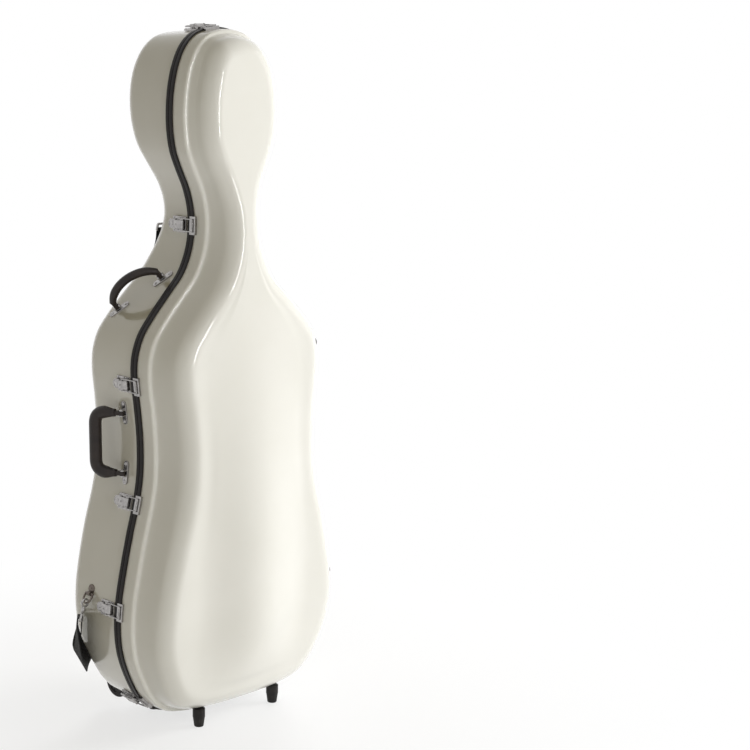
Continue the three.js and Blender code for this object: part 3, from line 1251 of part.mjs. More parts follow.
// A snap hook: x across its bar, z towards the ring that its eye holds
function snapHook(swivel) {
  const eye = new THREE.TorusGeometry(HOOK_EYE_RADIUS, HOOK_EYE_WIRE, PIN_ROUND, ROUND);
  const half = HOOK_FRAME_WIDTH / 2;
  const inner = half - HOOK_FRAME_BAR;
  const opening = roundedRectangle(-inner, inner, HOOK_FRAME_BAR - HOOK_FRAME_END,
    -HOOK_FRAME_START - HOOK_FRAME_BAR, HOOK_FRAME_BAR / 2);
  const frame = roundedRectangle(-half, half, -HOOK_FRAME_END, -HOOK_FRAME_START, HOOK_FRAME_BAR);
  const thick = HOOK_FRAME_THICK / 2;
  const stemEnd = HOOK_FRAME_START + HOOK_FRAME_BAR / 2;
  const stemLength = stemEnd - HOOK_EYE_RADIUS;
  const collarLength = HOOK_COLLAR_END - HOOK_COLLAR_START;
  const collarPlace = -(HOOK_COLLAR_END + HOOK_COLLAR_START) / 2;
  return toGeometry(join(
    solid(eye.rotateY(Math.PI / 2).rotateZ((swivel * Math.PI) / 2)),
    solid(rod("z", HOOK_STEM, stemLength, 0, 0, -HOOK_EYE_RADIUS - stemLength / 2)),
    solid(rod("z", HOOK_COLLAR, collarLength, 0, 0, collarPlace)),
    cut(solid(plate(frame, -thick, thick, 1)), solid(plate(opening, -thick - OVERRUN, thick + OVERRUN, 1))),
  ));
}

// Frame of a hook whose eye is on a ring's lowest wire and whose bar points at a place
function hookFrame(ringFrameNow, towards, across) {
  const drop = RING_WIRE - RING_DROP;
  const lean = new THREE.Matrix4().makeRotationX((leanShares.ring * Math.PI) / 2);
  lean.setPosition(0, RING_LUG + GAP, 0);
  const eye = vec(0, 0, drop).applyMatrix4(lean).applyMatrix4(ringFrameNow);
  const z = eye.clone().sub(towards).normalize();
  const x = across.clone().addScaledVector(z, -across.dot(z)).normalize();
  return new THREE.Matrix4().makeBasis(x, z.clone().cross(x), z).setPosition(eye);
}

// The webbing's turn around a hook's bar, as route places, from its inner side to its outer
function aroundBar(frame) {
  const bar = HOOK_FRAME_BAR / 2 - HOOK_FRAME_END;
  const radius = Math.hypot(HOOK_FRAME_THICK, HOOK_FRAME_BAR) / 2 + STRAP_THICK / 2 + 3 * GAP;
  const across = vec().setFromMatrixColumn(frame, 0).toArray();
  return [200, 160, 120, 60, 20, -20].map((degrees) => {
    const angle = THREE.MathUtils.degToRad(degrees);
    const point = vec(0, radius * Math.cos(angle), bar + radius * Math.sin(angle));
    return [point.applyMatrix4(frame), across];
  });
}

// A place of the strap: shares of the half width, of the back's depth there and of the height
function strapPlace([x, y, z]) {
  const height = z * CASE_HEIGHT;
  return vec(x * HALF_WIDTH, y * baseDepth(height), height);
}

const upperHook = hookFrame(neckRingFrame, strapPlace(strapShares.upperHook), vec(1, 0, 0));
const lowerHookPlace = strapPlace(strapShares.lowerHook);
const lowerHook = hookFrame(sideRingFrame, lowerHookPlace, vec(...strapShares.lowerAcross));
add("upper_snap_hook", snapHook(0), materials.metal, upperHook);
add("lower_snap_hook", snapHook(leanShares.hook), materials.metal, lowerHook);

// The webbing's route, with its turns around the two hooks' bars
const strapRoute = [
  ...strapShares.upperTail, ...aroundBar(upperHook), ...strapShares.run, ...aroundBar(lowerHook).reverse(),
  ...strapShares.lowerTail,
].map(([place, across]) => [Array.isArray(place) ? strapPlace(place) : place, across]);
const webbing = solid(cappedSkin(ribbon(strapRoute, STRAP_WIDTH, STRAP_THICK)));
add("strap_webbing", toGeometry(webbing), materials.webbing);

// A frame on the webbing between two places of its route: x across, y out, z up the route
function strapFrame(upper, lower, across) {
  const [high, low] = [upper, lower].map(strapPlace);
  const z = high.clone().sub(low).normalize();
  const x = vec(...across).addScaledVector(z, -z.dot(vec(...across))).normalize();
  const frame = new THREE.Matrix4().makeBasis(x, z.clone().cross(x), z);
  return frame.setPosition(high.add(low).multiplyScalar(0.5));
}

// A place along the shoulder pad, bent at its middle; y points away from the case
function padPlace(share) {
  const { padTop, padMiddle, padFoot, flatAcross } = strapShares;
  const [from, to] = share < 1 / 2 ? [padTop, padMiddle] : [padMiddle, padFoot];
  const part = share < 1 / 2 ? share * 2 : share * 2 - 1;
  return strapFrame(from, to, flatAcross).setPosition(strapPlace(from).lerp(strapPlace(to), part));
}

// The shoulder pad: a crowned cushion, thinner at its ends and edges, with side rails and a
// bridge over the webbing at each end
function shoulderPad() {
  const section = (frame, width, thick, corner) => {
    const [a, b] = [width / 2, thick / 2];
    const points = [[a, -b + corner], [a, b - corner], [a - corner, b], [corner - a, b],
      [-a, b - corner], [-a, corner - b], [corner - a, -b], [a - corner, -b]];
    return points.map(([x, y]) => vec(x, y, 0).applyMatrix4(frame));
  };
  const places = padPlaceShares.map(padPlace);
  const crowns = padCrownShares.map((share) => PAD_EDGE_THICK + (PAD_THICK - PAD_EDGE_THICK) * share);
  const outer = places.map((frame, i) => section(frame, PAD_WIDTH, crowns[i], PAD_CORNER));
  const inner = places.map((frame) => section(frame, PAD_SLOT_WIDTH, PAD_SLOT_THICK, GAP));
  const half = PAD_SLOT_WIDTH / 2;
  const window = padWindowShares.map(padPlace).map((frame) => {
    const corners = [[-half, 0], [half, 0], [half, PAD_THICK], [-half, PAD_THICK]];
    return corners.map(([x, y]) => vec(x, y, 0).applyMatrix4(frame));
  });
  return cut(solid(skin([...outer, ...inner.reverse()], true)), solid(cappedSkin(window)));
}

add("shoulder_pad", toGeometry(shoulderPad()), materials.rubber);

// Slider: the webbing runs behind its middle bar and in front of its end bars
function strapSlider() {
  const half = SLIDER_WIDTH / 2;
  const long = SLIDER_LENGTH / 2;
  const inside = STRAP_WIDTH / 2 + 4 * GAP;
  const near = STRAP_THICK / 2 + 4 * GAP;
  const far = near + SLIDER_THICK;
  const sides = [-1, 1].map((side) => {
    const [x0, x1] = side < 0 ? [-half, -inside] : [inside, half];
    return solid(box(x0, x1, -far, far, -long, long));
  });
  const ends = [-long, long - SLIDER_BAR].map((z) => solid(box(-half, half, -far, -near, z, z + SLIDER_BAR)));
  const middle = solid(box(-half, half, near, far, -SLIDER_BAR / 2, SLIDER_BAR / 2));
  return toGeometry(join(...sides, ...ends, middle));
}

const sliderFrame = strapFrame(strapShares.sliderTop, strapShares.sliderFoot, strapShares.sliderAcross);
add("strap_slider", strapSlider(), materials.metal, sliderFrame);

// The case stands on its feet with the floor under its middle at the origin
const standing = new THREE.Group();
standing.add(...parts);
standing.updateMatrixWorld(true);
const bounds = new THREE.Box3().setFromObject(standing, true);
const middle = bounds.getCenter(vec());
standing.position.set(-middle.x, -middle.y, -bounds.min.z);
const celloCase = new THREE.Group();
celloCase.name = "cello_case";
celloCase.add(standing);

export default celloCase;
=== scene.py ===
"""Looks of the cello hard case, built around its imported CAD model."""
import json
import math

import bmesh
import bpy
import numpy as np
from mathutils import Matrix, Vector

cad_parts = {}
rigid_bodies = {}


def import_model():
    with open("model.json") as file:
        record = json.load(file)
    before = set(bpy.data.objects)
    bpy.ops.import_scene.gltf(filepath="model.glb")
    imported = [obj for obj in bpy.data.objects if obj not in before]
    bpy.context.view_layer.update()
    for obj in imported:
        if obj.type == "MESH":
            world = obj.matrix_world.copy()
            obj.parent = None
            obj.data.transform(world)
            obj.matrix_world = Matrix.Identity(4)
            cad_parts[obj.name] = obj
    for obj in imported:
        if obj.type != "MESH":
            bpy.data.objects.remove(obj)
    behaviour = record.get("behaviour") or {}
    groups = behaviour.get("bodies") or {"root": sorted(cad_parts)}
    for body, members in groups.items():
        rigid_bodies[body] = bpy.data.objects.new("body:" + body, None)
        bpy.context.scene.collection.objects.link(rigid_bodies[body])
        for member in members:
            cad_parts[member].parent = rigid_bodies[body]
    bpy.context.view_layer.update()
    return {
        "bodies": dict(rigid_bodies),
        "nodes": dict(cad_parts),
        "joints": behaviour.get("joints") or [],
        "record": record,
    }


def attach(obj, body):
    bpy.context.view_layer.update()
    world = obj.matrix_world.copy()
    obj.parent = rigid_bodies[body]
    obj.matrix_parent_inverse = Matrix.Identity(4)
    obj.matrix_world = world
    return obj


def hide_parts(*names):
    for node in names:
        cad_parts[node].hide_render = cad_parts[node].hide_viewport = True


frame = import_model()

NODES = frame["nodes"]
BEHAVIOUR = frame["record"]["behaviour"]
BODY_OF = {node: body for body, members in BEHAVIOUR["bodies"].items() for node in members}
JOINT_AT = {joint["name"]: Vector(joint["pos_m"]) for joint in BEHAVIOUR["joints"]}
MM = 0.001

# The case's own frame is in millimetres: x = 0 midway between the wheels, y = 0 in the seam,
# where the lid's hinge is, and z = 0 on the floor.
MIDWAY = (JOINT_AT["wheel_left_spin"] + JOINT_AT["wheel_right_spin"]) / 2
SHIFT = Vector((MIDWAY.x, JOINT_AT["lid_hinge"].y, 0))

# Driving sizes and shell form, as in the CAD model
CASE_HEIGHT, HALF_WIDTH = 1345, 250
BASE_DEPTH, LID_DEPTH = 168, 124
WALL, GAP, LINING = 4, 0.3, 8
BASE_DRAFT, BASE_CORNER, BASE_CROWN = 6, 36, 2
LID_STRIP, LID_STRIP_DRAFT, LID_STEP_ROUND = 34, 1, 5
LID_STEP, LID_STEP_FALL, LID_WALL_DRAFT = 4, 3, 4
LID_CORNER, LID_BULGE, LID_BULGE_WIDTH = 34, 28, 150
BAND_WIDTH, BAND_PROUD, BAND_CAP = 9, 2.8, 2
SHELL_INSET = BAND_PROUD + GAP
RIM = GAP + BAND_CAP + GAP
RIB_OFFSET, RIB_RISE = 73, 9
RIB_CROWN_HALF, RIB_HALF = 9, 21
FLANK_FOOT, FLANK_FADE = 60, 20

# Outline and depths: shares of the half width, the height and each half's depth
OUTLINE_SHARES = [
    (0, 1), (0.112, 0.9978), (0.216, 0.9914), (0.308, 0.977), (0.38, 0.9539),
    (0.428, 0.9242), (0.45, 0.8907), (0.446, 0.8587), (0.416, 0.829), (0.356, 0.803),
    (0.286, 0.7762), (0.242, 0.748), (0.232, 0.7227), (0.258, 0.6914), (0.34, 0.6587),
    (0.484, 0.6305), (0.628, 0.603), (0.748, 0.5755), (0.808, 0.545), (0.814, 0.513),
    (0.786, 0.4736), (0.762, 0.4275), (0.764, 0.3792), (0.802, 0.3383), (0.87, 0.2937),
    (0.936, 0.2439), (0.986, 0.197), (1, 0.1561), (0.974, 0.119), (0.904, 0.0833),
    (0.8, 0.0491), (0.656, 0.026), (0.472, 0.0164), (0.24, 0.0126), (0, 0.0119),
]
BASE_DEPTH_SHARES = [
    (0.012, 0.774), (0.045, 0.798), (0.086, 0.845), (0.123, 0.899), (0.159, 0.94),
    (0.195, 0.97), (0.238, 0.988), (0.297, 0.994), (0.372, 0.976), (0.458, 0.952),
    (0.53, 0.935), (0.597, 0.923), (0.632, 0.893), (0.669, 0.821), (0.699, 0.726),
    (0.733, 0.643), (0.768, 0.643), (0.803, 0.708), (0.837, 0.792), (0.871, 0.845),
    (0.905, 0.875), (0.938, 0.881), (1, 0.833),
]
LID_DEPTH_SHARES = [
    (0.012, 0.742), (0.058, 0.815), (0.093, 0.871), (0.129, 0.911), (0.168, 0.96),
    (0.223, 0.976), (0.335, 1), (0.446, 0.992), (0.52, 0.968), (0.596, 0.96),
    (0.633, 0.919), (0.671, 0.887), (0.706, 0.855), (0.74, 0.823), (0.772, 0.782),
    (0.805, 0.75), (0.872, 0.758), (0.94, 0.742), (1, 0.685),
]
SPINE_SHARES = (0.12, 0.915)
BULGE_SHARES = {"foot": 0.03, "full": 0.16, "fade": 0.16, "head": 0.72, "edge": 0.3}
RIB_SHARES = {"full": 0.625, "top": 0.66}

# Places of the fittings: side, then shares of the height and of the depth
LATCH_SHARES = {
    "top": (-1, 0.9994), "neck_left": (-1, 0.7234), "neck_right": (1, 0.7234),
    "shoulder_left": (-1, 0.505), "waist_left": (-1, 0.335), "hip_left": (-1, 0.184),
    "foot_left": (-1, 0.04), "foot_right": (1, 0.04),
}
HINGE_SHARES = {"upper": 0.531, "lower": 0.184}
SIDE_HANDLE_SHARES = {"low": (0.3747, 0.244), "high": (0.4617, 0.244)}
SHOULDER_SHARES = {"low": (0.6052, 0.619), "high": (0.6483, 0.226)}
# How far the grips, rings and lower hook turn, as shares of a right angle
LEAN_SHARES = {"side": 0.7333, "shoulder": 0.02, "ring": 0.2778, "hook": 0.4556}
PULL_SHARE = 0.9413
WHEEL_SHARES = (0.552, 0.756)
PEG_SHARES = {"upper": (0.564, 0.5346), "lower": (0.74, 0.1874)}
FOOT_SHARES = {"place": 0.4, "base": 0.393, "lid": 0.548}
BUMPER_SHARES = {"upper": (0.524, 0.541), "lower": (0.166, 0.186)}
BUMPER_DEPTH_SHARES = {"base": 0.357, "lid": 0.597}
RING_SHARES = {"neck": 0.7428, "side": (0.1963, 0.524)}

# The strap's way as shares of the half width, of the back's depth there and of the height,
# with the direction across the webbing
FLAT_ACROSS, SLIDER_ACROSS, HOOK_ACROSS = (1, 0, 0), (0.75, 0.6, 0), (0.62, 0.75, -0.2)
UPPER_HOOK_SHARES, LOWER_HOOK_SHARES = (0, 1.106, 0.7026), (-1.072, 0.584, 0.1561)
PAD_SHARES = [(-0.124, 1.108, 0.513), (-0.152, 1.103, 0.4498), (-0.176, 1.104, 0.3903)]
SLIDER_SHARES = [(-0.272, 1.217, 0.2647), (-0.316, 1.204, 0.2394)]
UPPER_TAIL_SHARES = [((0, 1.049, 0.6952), FLAT_ACROSS)]
LOWER_TAIL_SHARES = [((-1.064, 0.569, 0.1413), (0.6, 0.7, 0.1))]
STRAP_SHARES = [
    ((0, 1.104, 0.6914), FLAT_ACROSS), ((-0.012, 1.069, 0.6654), FLAT_ACROSS),
    ((-0.032, 1.08, 0.6283), FLAT_ACROSS), ((-0.06, 1.083, 0.5799), FLAT_ACROSS),
    *[(shares, FLAT_ACROSS) for shares in PAD_SHARES],
    ((-0.216, 1.158, 0.3123), (0.9, 0.45, 0)), ((-0.248, 1.221, 0.2825), (0.6, 0.8, 0)),
    *[(shares, SLIDER_ACROSS) for shares in SLIDER_SHARES],
    ((-0.412, 1.187, 0.2097), (0.6, 0.6, 0.3)), ((-0.52, 1.2, 0.1725), (0.35, 0.7, 0.5)),
    ((-0.608, 1.206, 0.1383), (0, 0.8, 0.6)), ((-0.712, 1.197, 0.11), (-0.2, 0.7, 0.7)),
    ((-0.848, 1.098, 0.0862), (-0.3, 0.5, 0.8)), ((-0.96, 0.871, 0.0877), (-0.2, 0.5, 0.8)),
    ((-1.032, 0.722, 0.1115), (0.2, 0.6, 0.6)),
]


def smooth(value, start, end):
    t = np.clip((np.asarray(value, float) - start) / (end - start), 0, 1)
    return t * t * (3 - 2 * t)


# Materials
class Nodes:
    """The node tree of a material or a world: add nodes with their inputs, end in a surface."""

    def __init__(self, owner, output="OutputMaterial"):
        owner.use_nodes = True
        self.owner, self.tree = owner, owner.node_tree
        self.tree.nodes.clear()
        self.out = self.add(output)

    def add(self, kind, inputs=None, **settings):
        node = self.tree.nodes.new("ShaderNode" + kind)
        for key, value in settings.items():
            setattr(node, key, value)
        for key, value in (inputs or {}).items():
            socket = node.inputs[key]
            if isinstance(value, bpy.types.NodeSocket):
                self.tree.links.new(value, socket)
            else:
                socket.default_value = value
        return node

    def math(self, operation, first, second=None):
        values = {0: first} if second is None else {0: first, 1: second}
        return self.add("Math", values, operation=operation).outputs[0]

    def noise(self, place, scale, detail=3):
        inputs = {"Vector": place, "Scale": scale, "Detail": detail, "Roughness": 0.55}
        return self.add("TexNoise", inputs).outputs["Fac"]

    def spread(self, value, low, high, start=0.3, end=0.7):
        inputs = {"Value": value, "From Min": start, "From Max": end, "To Min": low, "To Max": high}
        return self.add("MapRange", inputs).outputs[0]

    def surface(self, shader):
        self.tree.links.new(shader.outputs[0], self.out.inputs["Surface"])
        return self.owner


def rgba(color):
    return (*color, 1)


def finish_of(name, dark, light, rough, metal=0.0, scale=40, grain=900, grain_depth=0.00005,
              grain_strength=0.3, stretch=(1, 1, 1), bump=None, **constant):
    """A surface whose colour, roughness and relief all vary a little."""
    n = Nodes(bpy.data.materials.new(name))
    place_now = n.add("TexCoord").outputs["Object"]
    stretched = n.add("Mapping", {"Vector": place_now, "Scale": stretch}).outputs[0]
    mottled = n.noise(place_now, scale)
    fine = n.noise(stretched, grain, 4)
    colors = {"Fac": n.spread(mottled, 0, 1), "Color1": rgba(dark), "Color2": rgba(light)}
    tint = n.add("MixRGB", colors).outputs[0]
    worn = n.math("ADD", n.spread(fine, rough[0], rough[1]), n.spread(mottled, -0.02, 0.02))
    relief = bump(n, place_now, fine) if bump else fine
    bumps = {"Height": relief, "Strength": grain_strength, "Distance": grain_depth}
    normal = n.add("Bump", bumps).outputs[0]
    look = {"Base Color": tint, "Roughness": worn, "Metallic": metal, "Normal": normal}
    shader = n.add("BsdfPrincipled", look)
    for key, value in constant.items():
        shader.inputs[key.replace("_", " ")].default_value = value
    return n.surface(shader)


def leather_grain(n, place_now, fine):
    pores = n.add("TexVoronoi", {"Vector": place_now, "Scale": 620}, feature="DISTANCE_TO_EDGE")
    return n.math("ADD", n.spread(pores.outputs["Distance"], 0, 1, 0, 0.16), fine)


def webbing_weave(n, place_now, fine):
    """Ribs across the webbing and yarns along it, from the ribbon's own map in metres."""
    rib_pitch, yarn_pitch, yarn_share = 0.0023, 0.0016, 0.35
    split = n.add("SeparateXYZ", {"Vector": n.add("UVMap").outputs[0]})
    along = n.math("MULTIPLY", split.outputs["Y"], 2 * math.pi / rib_pitch)
    across = n.math("MULTIPLY", split.outputs["X"], 2 * math.pi / yarn_pitch)
    woven = n.math("MULTIPLY", n.math("SINE", across), yarn_share)
    return n.math("ADD", n.math("ADD", n.math("SINE", along), woven), fine)


MAT = {
    "paint": finish_of("shell_paint", (0.825, 0.815, 0.765), (0.85, 0.84, 0.795), (0.2, 0.26), scale=7,
                       grain=700, grain_depth=0.00002, grain_strength=0.12, Specular_IOR_Level=0.25,
                       Coat_Weight=1.0, Coat_Roughness=0.025, Coat_IOR=1.5),
    "band": finish_of("edge_band_black", (0.010, 0.008, 0.008), (0.018, 0.014, 0.013), (0.28, 0.4),
                      scale=30, grain=1400, Specular_IOR_Level=0.2),
    "metal": finish_of("nickel_plate", (0.30, 0.29, 0.285), (0.42, 0.405, 0.395), (0.16, 0.3), 1.0,
                       scale=120, grain=500, grain_depth=0.00002, grain_strength=0.25, stretch=(1, 1, 0.15)),
    "bronze": finish_of("dark_bronze", (0.10, 0.082, 0.07), (0.17, 0.145, 0.125), (0.22, 0.36), 1.0,
                        scale=150, grain=600, grain_depth=0.00002),
    "rubber": finish_of("black_rubber", (0.012, 0.011, 0.011), (0.024, 0.022, 0.021), (0.5, 0.68),
                        scale=60, grain=1500, grain_depth=0.00008, Specular_IOR_Level=0.25),
    "grip": finish_of("grip_leather", (0.013, 0.009, 0.008), (0.028, 0.020, 0.017), (0.34, 0.5), scale=50,
                      grain=1200, grain_depth=0.00012, grain_strength=0.35, bump=leather_grain,
                      Specular_IOR_Level=0.35),
    "plastic": finish_of("black_plastic", (0.012, 0.012, 0.012), (0.022, 0.021, 0.021), (0.32, 0.45),
                         scale=80, grain=1600, grain_depth=0.00006, Specular_IOR_Level=0.3),
    "hub": finish_of("hub_plastic", (0.03, 0.03, 0.031), (0.05, 0.05, 0.05), (0.35, 0.5), scale=80,
                     grain=1400, Specular_IOR_Level=0.3),
    "webbing": finish_of("nylon_webbing", (0.007, 0.007, 0.008), (0.016, 0.015, 0.016), (0.6, 0.8),
                         scale=90, grain=2500, grain_depth=0.00035, grain_strength=0.8, bump=webbing_weave,
                         Specular_IOR_Level=0.15, Sheen_Weight=0.12, Sheen_Roughness=0.5),
    "lining": finish_of("plush_lining", (0.018, 0.018, 0.021), (0.04, 0.039, 0.044), (0.8, 0.95), scale=25,
                        grain=1800, grain_depth=0.0004, grain_strength=0.7, Sheen_Weight=0.6,
                        Sheen_Roughness=0.45),
}


# Meshes
def place(point):
    """A point of the case's own frame, in metres in the row frame."""
    return Vector(point) * MM + SHIFT


def closed_mesh(name, points, faces, weld=0.0, map_points=None):
    """Mesh data from points in the case's own frame, with its faces turned outwards."""
    data = bpy.data.meshes.new(name)
    data.from_pydata([tuple(place(p)) for p in points], [], faces)
    if map_points is not None:
        layer = data.uv_layers.new(name="UVMap")
        for loop in data.loops:
            layer.data[loop.index].uv = map_points[loop.vertex_index]
    made = bmesh.new()
    made.from_mesh(data)
    if weld:
        bmesh.ops.remove_doubles(made, verts=made.verts, dist=weld)
    bmesh.ops.recalc_face_normals(made, faces=made.faces)
    made.to_mesh(data)
    made.free()
    return data


def object_of(name, data):
    made = bpy.data.objects.new(name, data)
    bpy.context.scene.collection.objects.link(made)
    return made


def mesh_piece(name, points, faces, material, body, sharp=35, replaces=(), uv=None, weld=0.0):
    """A mesh object from points in the case's own frame, riding on a body."""
    data = closed_mesh(name, points, faces, weld, uv)
    data.polygons.foreach_set("use_smooth", [True] * len(data.polygons))
    data.set_sharp_from_angle(angle=math.radians(sharp))
    piece = object_of(name, data)
    data.materials.append(MAT[material])
    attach(piece, body)
    if replaces:
        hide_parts(*replaces)
    return piece


def ring_faces(count, rings, loop=False, cap=False):
    faces = []
    for i in range(rings if loop else rings - 1):
        here, there = i * count, ((i + 1) % rings) * count
        for j in range(count):
            k = (j + 1) % count
            faces.append((here + j, there + j, there + k, here + k))
    if cap:
        faces.append(tuple(range(count)))
        faces.append(tuple(range((rings - 1) * count, rings * count)))
    return faces


def lofted(name, rings, material, body, loop=False, cap=True, **more):
    points = [p for ring in rings for p in ring]
    faces = ring_faces(len(rings[0]), len(rings), loop, cap and not loop)
    return mesh_piece(name, points, faces, material, body, **more)


# Case outline and depths
def share_curve(shares, size):
    """Depth by height through shares of two sizes: as the CAD model has it, and eased."""
    t = np.array([s[0] for s in shares]) * CASE_HEIGHT
    v = np.array([s[1] for s in shares]) * size
    fine = np.arange(0, CASE_HEIGHT + 1, 1.0)
    spot = np.clip(fine, t[0], t[-1])
    i = np.clip(np.searchsorted(t, spot, "right"), 1, len(t) - 1)
    t0, t1, v0, v1 = t[i - 1], t[i], v[i - 1], v[i]
    before = np.where(i > 1, t[np.maximum(i - 2, 0)], 2 * t0 - t1)
    after = np.where(i < len(t) - 1, t[np.minimum(i + 1, len(t) - 1)], 2 * t1 - t0)
    vb = np.where(i > 1, v[np.maximum(i - 2, 0)], v1)
    va = np.where(i < len(t) - 1, v[np.minimum(i + 1, len(t) - 1)], v0)
    half = (t1 - t0) / 2
    wb, wa = half / (t0 - before), half / (after - t1)
    p = (spot - t0) / (t1 - t0)
    p2, p3 = p * p, p * p * p
    curve = vb * (-wb * p3 + 2 * wb * p2 - wb * p) + va * (wa * p3 - wa * p2)
    curve += v0 * ((1 + wb) * p3 + (-1.5 - 2 * wb) * p2 + (-0.5 + wb) * p + 1)
    curve += v1 * ((-1 - wa) * p3 + (1.5 + wa) * p2 + 0.5 * p)
    reach, softness = 30, 10.0
    kernel = np.exp(-0.5 * (np.arange(-reach, reach + 1) / softness) ** 2)
    kernel /= kernel.sum()
    padded = np.concatenate([np.full(reach, curve[0]), curve, np.full(reach, curve[-1])])
    eased = np.convolve(padded, kernel, "valid")
    return (lambda z: np.interp(z, fine, curve)), (lambda z: np.interp(z, fine, eased))


cad_base_depth, base_depth = share_curve(BASE_DEPTH_SHARES, BASE_DEPTH)
lid_depth = share_curve(LID_DEPTH_SHARES, LID_DEPTH)[1]


def fine_outline(count=4000):
    """Points down the outline's +X half with their outward normals."""
    half = [np.array((x * HALF_WIDTH, z * CASE_HEIGHT)) for x, z in OUTLINE_SHARES]
    points = half + [np.array((-p[0], p[1])) for p in half[-2:0:-1]]
    total = len(points)
    found = []
    for j in range(count + 1):
        p = total * j / (2 * count)
        k, w = int(p), p - int(p)
        a, b, c, d = (points[(k + s) % total] for s in (-1, 0, 1, 2))
        d0, d1, d2 = (math.sqrt(np.linalg.norm(v - u)) for u, v in ((a, b), (b, c), (c, d)))
        t1 = ((b - a) / d0 - (c - a) / (d0 + d1) + (c - b) / d1) * d1
        t2 = ((c - b) / d1 - (d - b) / (d1 + d2) + (d - c) / d2) * d1
        c2, c3 = -3 * b + 3 * c - 2 * t1 - t2, 2 * b - 2 * c + t1 + t2
        found.append(b + t1 * w + c2 * w * w + c3 * w ** 3)
    found = np.array(found)
    tangent = np.gradient(found, axis=0)
    tangent /= np.linalg.norm(tangent, axis=1)[:, None]
    normal = np.stack([-tangent[:, 1], tangent[:, 0]], axis=1)
    normal[0], normal[-1] = (0, 1), (0, -1)
    return found, normal


def run_of(values):
    """How far each of a line's places is along it."""
    return np.concatenate([[0], np.cumsum(np.linalg.norm(np.diff(values, axis=0), axis=1))])


FINE, FINE_NORMAL = fine_outline()


def stations(count, extra):
    """Places around the whole outline: x, z, nx, nz, denser where it bends."""
    travel, bend = run_of(FINE), run_of(FINE_NORMAL)
    share = travel / travel[-1] * 0.6 + bend / bend[-1] * 0.4
    low = FINE[:, 1] < FLANK_FOOT
    more = [np.interp(-x, -FINE[low][:, 0], share[low]) for x in extra]
    targets = np.concatenate([np.linspace(0, 1, count // 2 + 1), more])
    targets = np.array(sorted(set(np.round(targets, 6))))
    targets = targets[np.concatenate([[True], np.diff(targets) > 4e-4])]
    targets[-1] = 1
    half = np.stack([np.interp(targets, share, v) for v in (*FINE.T, *FINE_NORMAL.T)], axis=1)
    half[0, [0, 2]] = 0
    half[-1, [0, 2]] = 0
    other = half[-2:0:-1] * np.array((-1, 1, -1, 1))
    return np.concatenate([half, other])


# More stations where the back ribs come down to the foot
EDGE_AWAY, EDGE_REACH, EDGE_STEP = 20, 7, 1.6
near_edge = np.arange(-EDGE_REACH, EDGE_REACH, EDGE_STEP)
AROUND = stations(360, [RIB_OFFSET + side * EDGE_AWAY + x for side in (-1, 1) for x in near_edge])


def ring_at(inset, depth):
    x = AROUND[:, 0] - AROUND[:, 2] * inset
    z = AROUND[:, 1] - AROUND[:, 3] * inset
    y = depth(z) if callable(depth) else np.full(len(x), float(depth))
    return np.stack([x, y, z], axis=1)


def between(a, b, count):
    return [a + (b - a) * (i / (count + 1)) for i in range(1, count + 1)]


def corner_rings(inset, radius, depth, steps):
    rings = []
    for i in range(steps + 1):
        angle = math.pi / 2 * i / steps
        inward, short = radius * (1 - math.cos(angle)), radius * (1 - math.sin(angle))
        rings.append(ring_at(inset + inward, lambda z, s=short: depth(z) - s))
    return rings


def face_rings(edge, height, marks):
    """Rings in from the corner to the spine; marks are distances from the middle line that
    the wider stations keep, so that a rib's edges lie along the rings."""
    foot, head = (share * CASE_HEIGHT for share in SPINE_SHARES)
    least = 0.004
    rings = []
    count = len(marks)
    for k, mark in enumerate(marks):
        reach = np.abs(edge[:, 0])
        share = 1 - np.minimum(mark / np.maximum(reach, 1e-6), 1 - (k + 1) / count)
        share = np.maximum(share, (k + 1) * least)
        if k == count - 1:
            share = np.ones(len(reach))
        x = edge[:, 0] * (1 - share)
        z = edge[:, 2] + (np.clip(edge[:, 2], foot, head) - edge[:, 2]) * share
        rings.append(np.stack([x, height(x, z, share), z], axis=1))
    return rings


def bulge_at(x, z):
    across = np.minimum(np.abs(x) / LID_BULGE_WIDTH, 1)
    foot, full, fade, head = (BULGE_SHARES[key] * CASE_HEIGHT for key in ("foot", "full", "fade", "head"))
    return LID_BULGE * np.cos(across * math.pi / 2) ** 2 * smooth(z, foot, full) * (1 - smooth(z, fade, head))


def rib_at(x, z):
    """Height of the two moulded back ribs: soft shoulders, a flat crown, fading at the top."""
    away = np.abs(np.abs(x) - RIB_OFFSET)
    profile = 1 - smooth(away, RIB_CROWN_HALF, RIB_HALF)
    full, top = (RIB_SHARES[key] * CASE_HEIGHT for key in ("full", "top"))
    return RIB_RISE * profile * (1 - smooth(z, full, top))


BASE_MARKS = [230, 210, 190, 170, 150, 135, 120, 108, 99, 95, 91.5, 88, 84.5, 81, 77, 73, 69, 65, 61.5,
              58, 54.5, 51, 47, 38, 28, 18, 9, 0]
LID_MARKS = [220, 200, 180, 165, 150, *range(140, 40, -10), 40, 32, 24, 16, 8, 0]
INNER_MARKS = [120, 60, 0]
FLANK_STEPS = 4


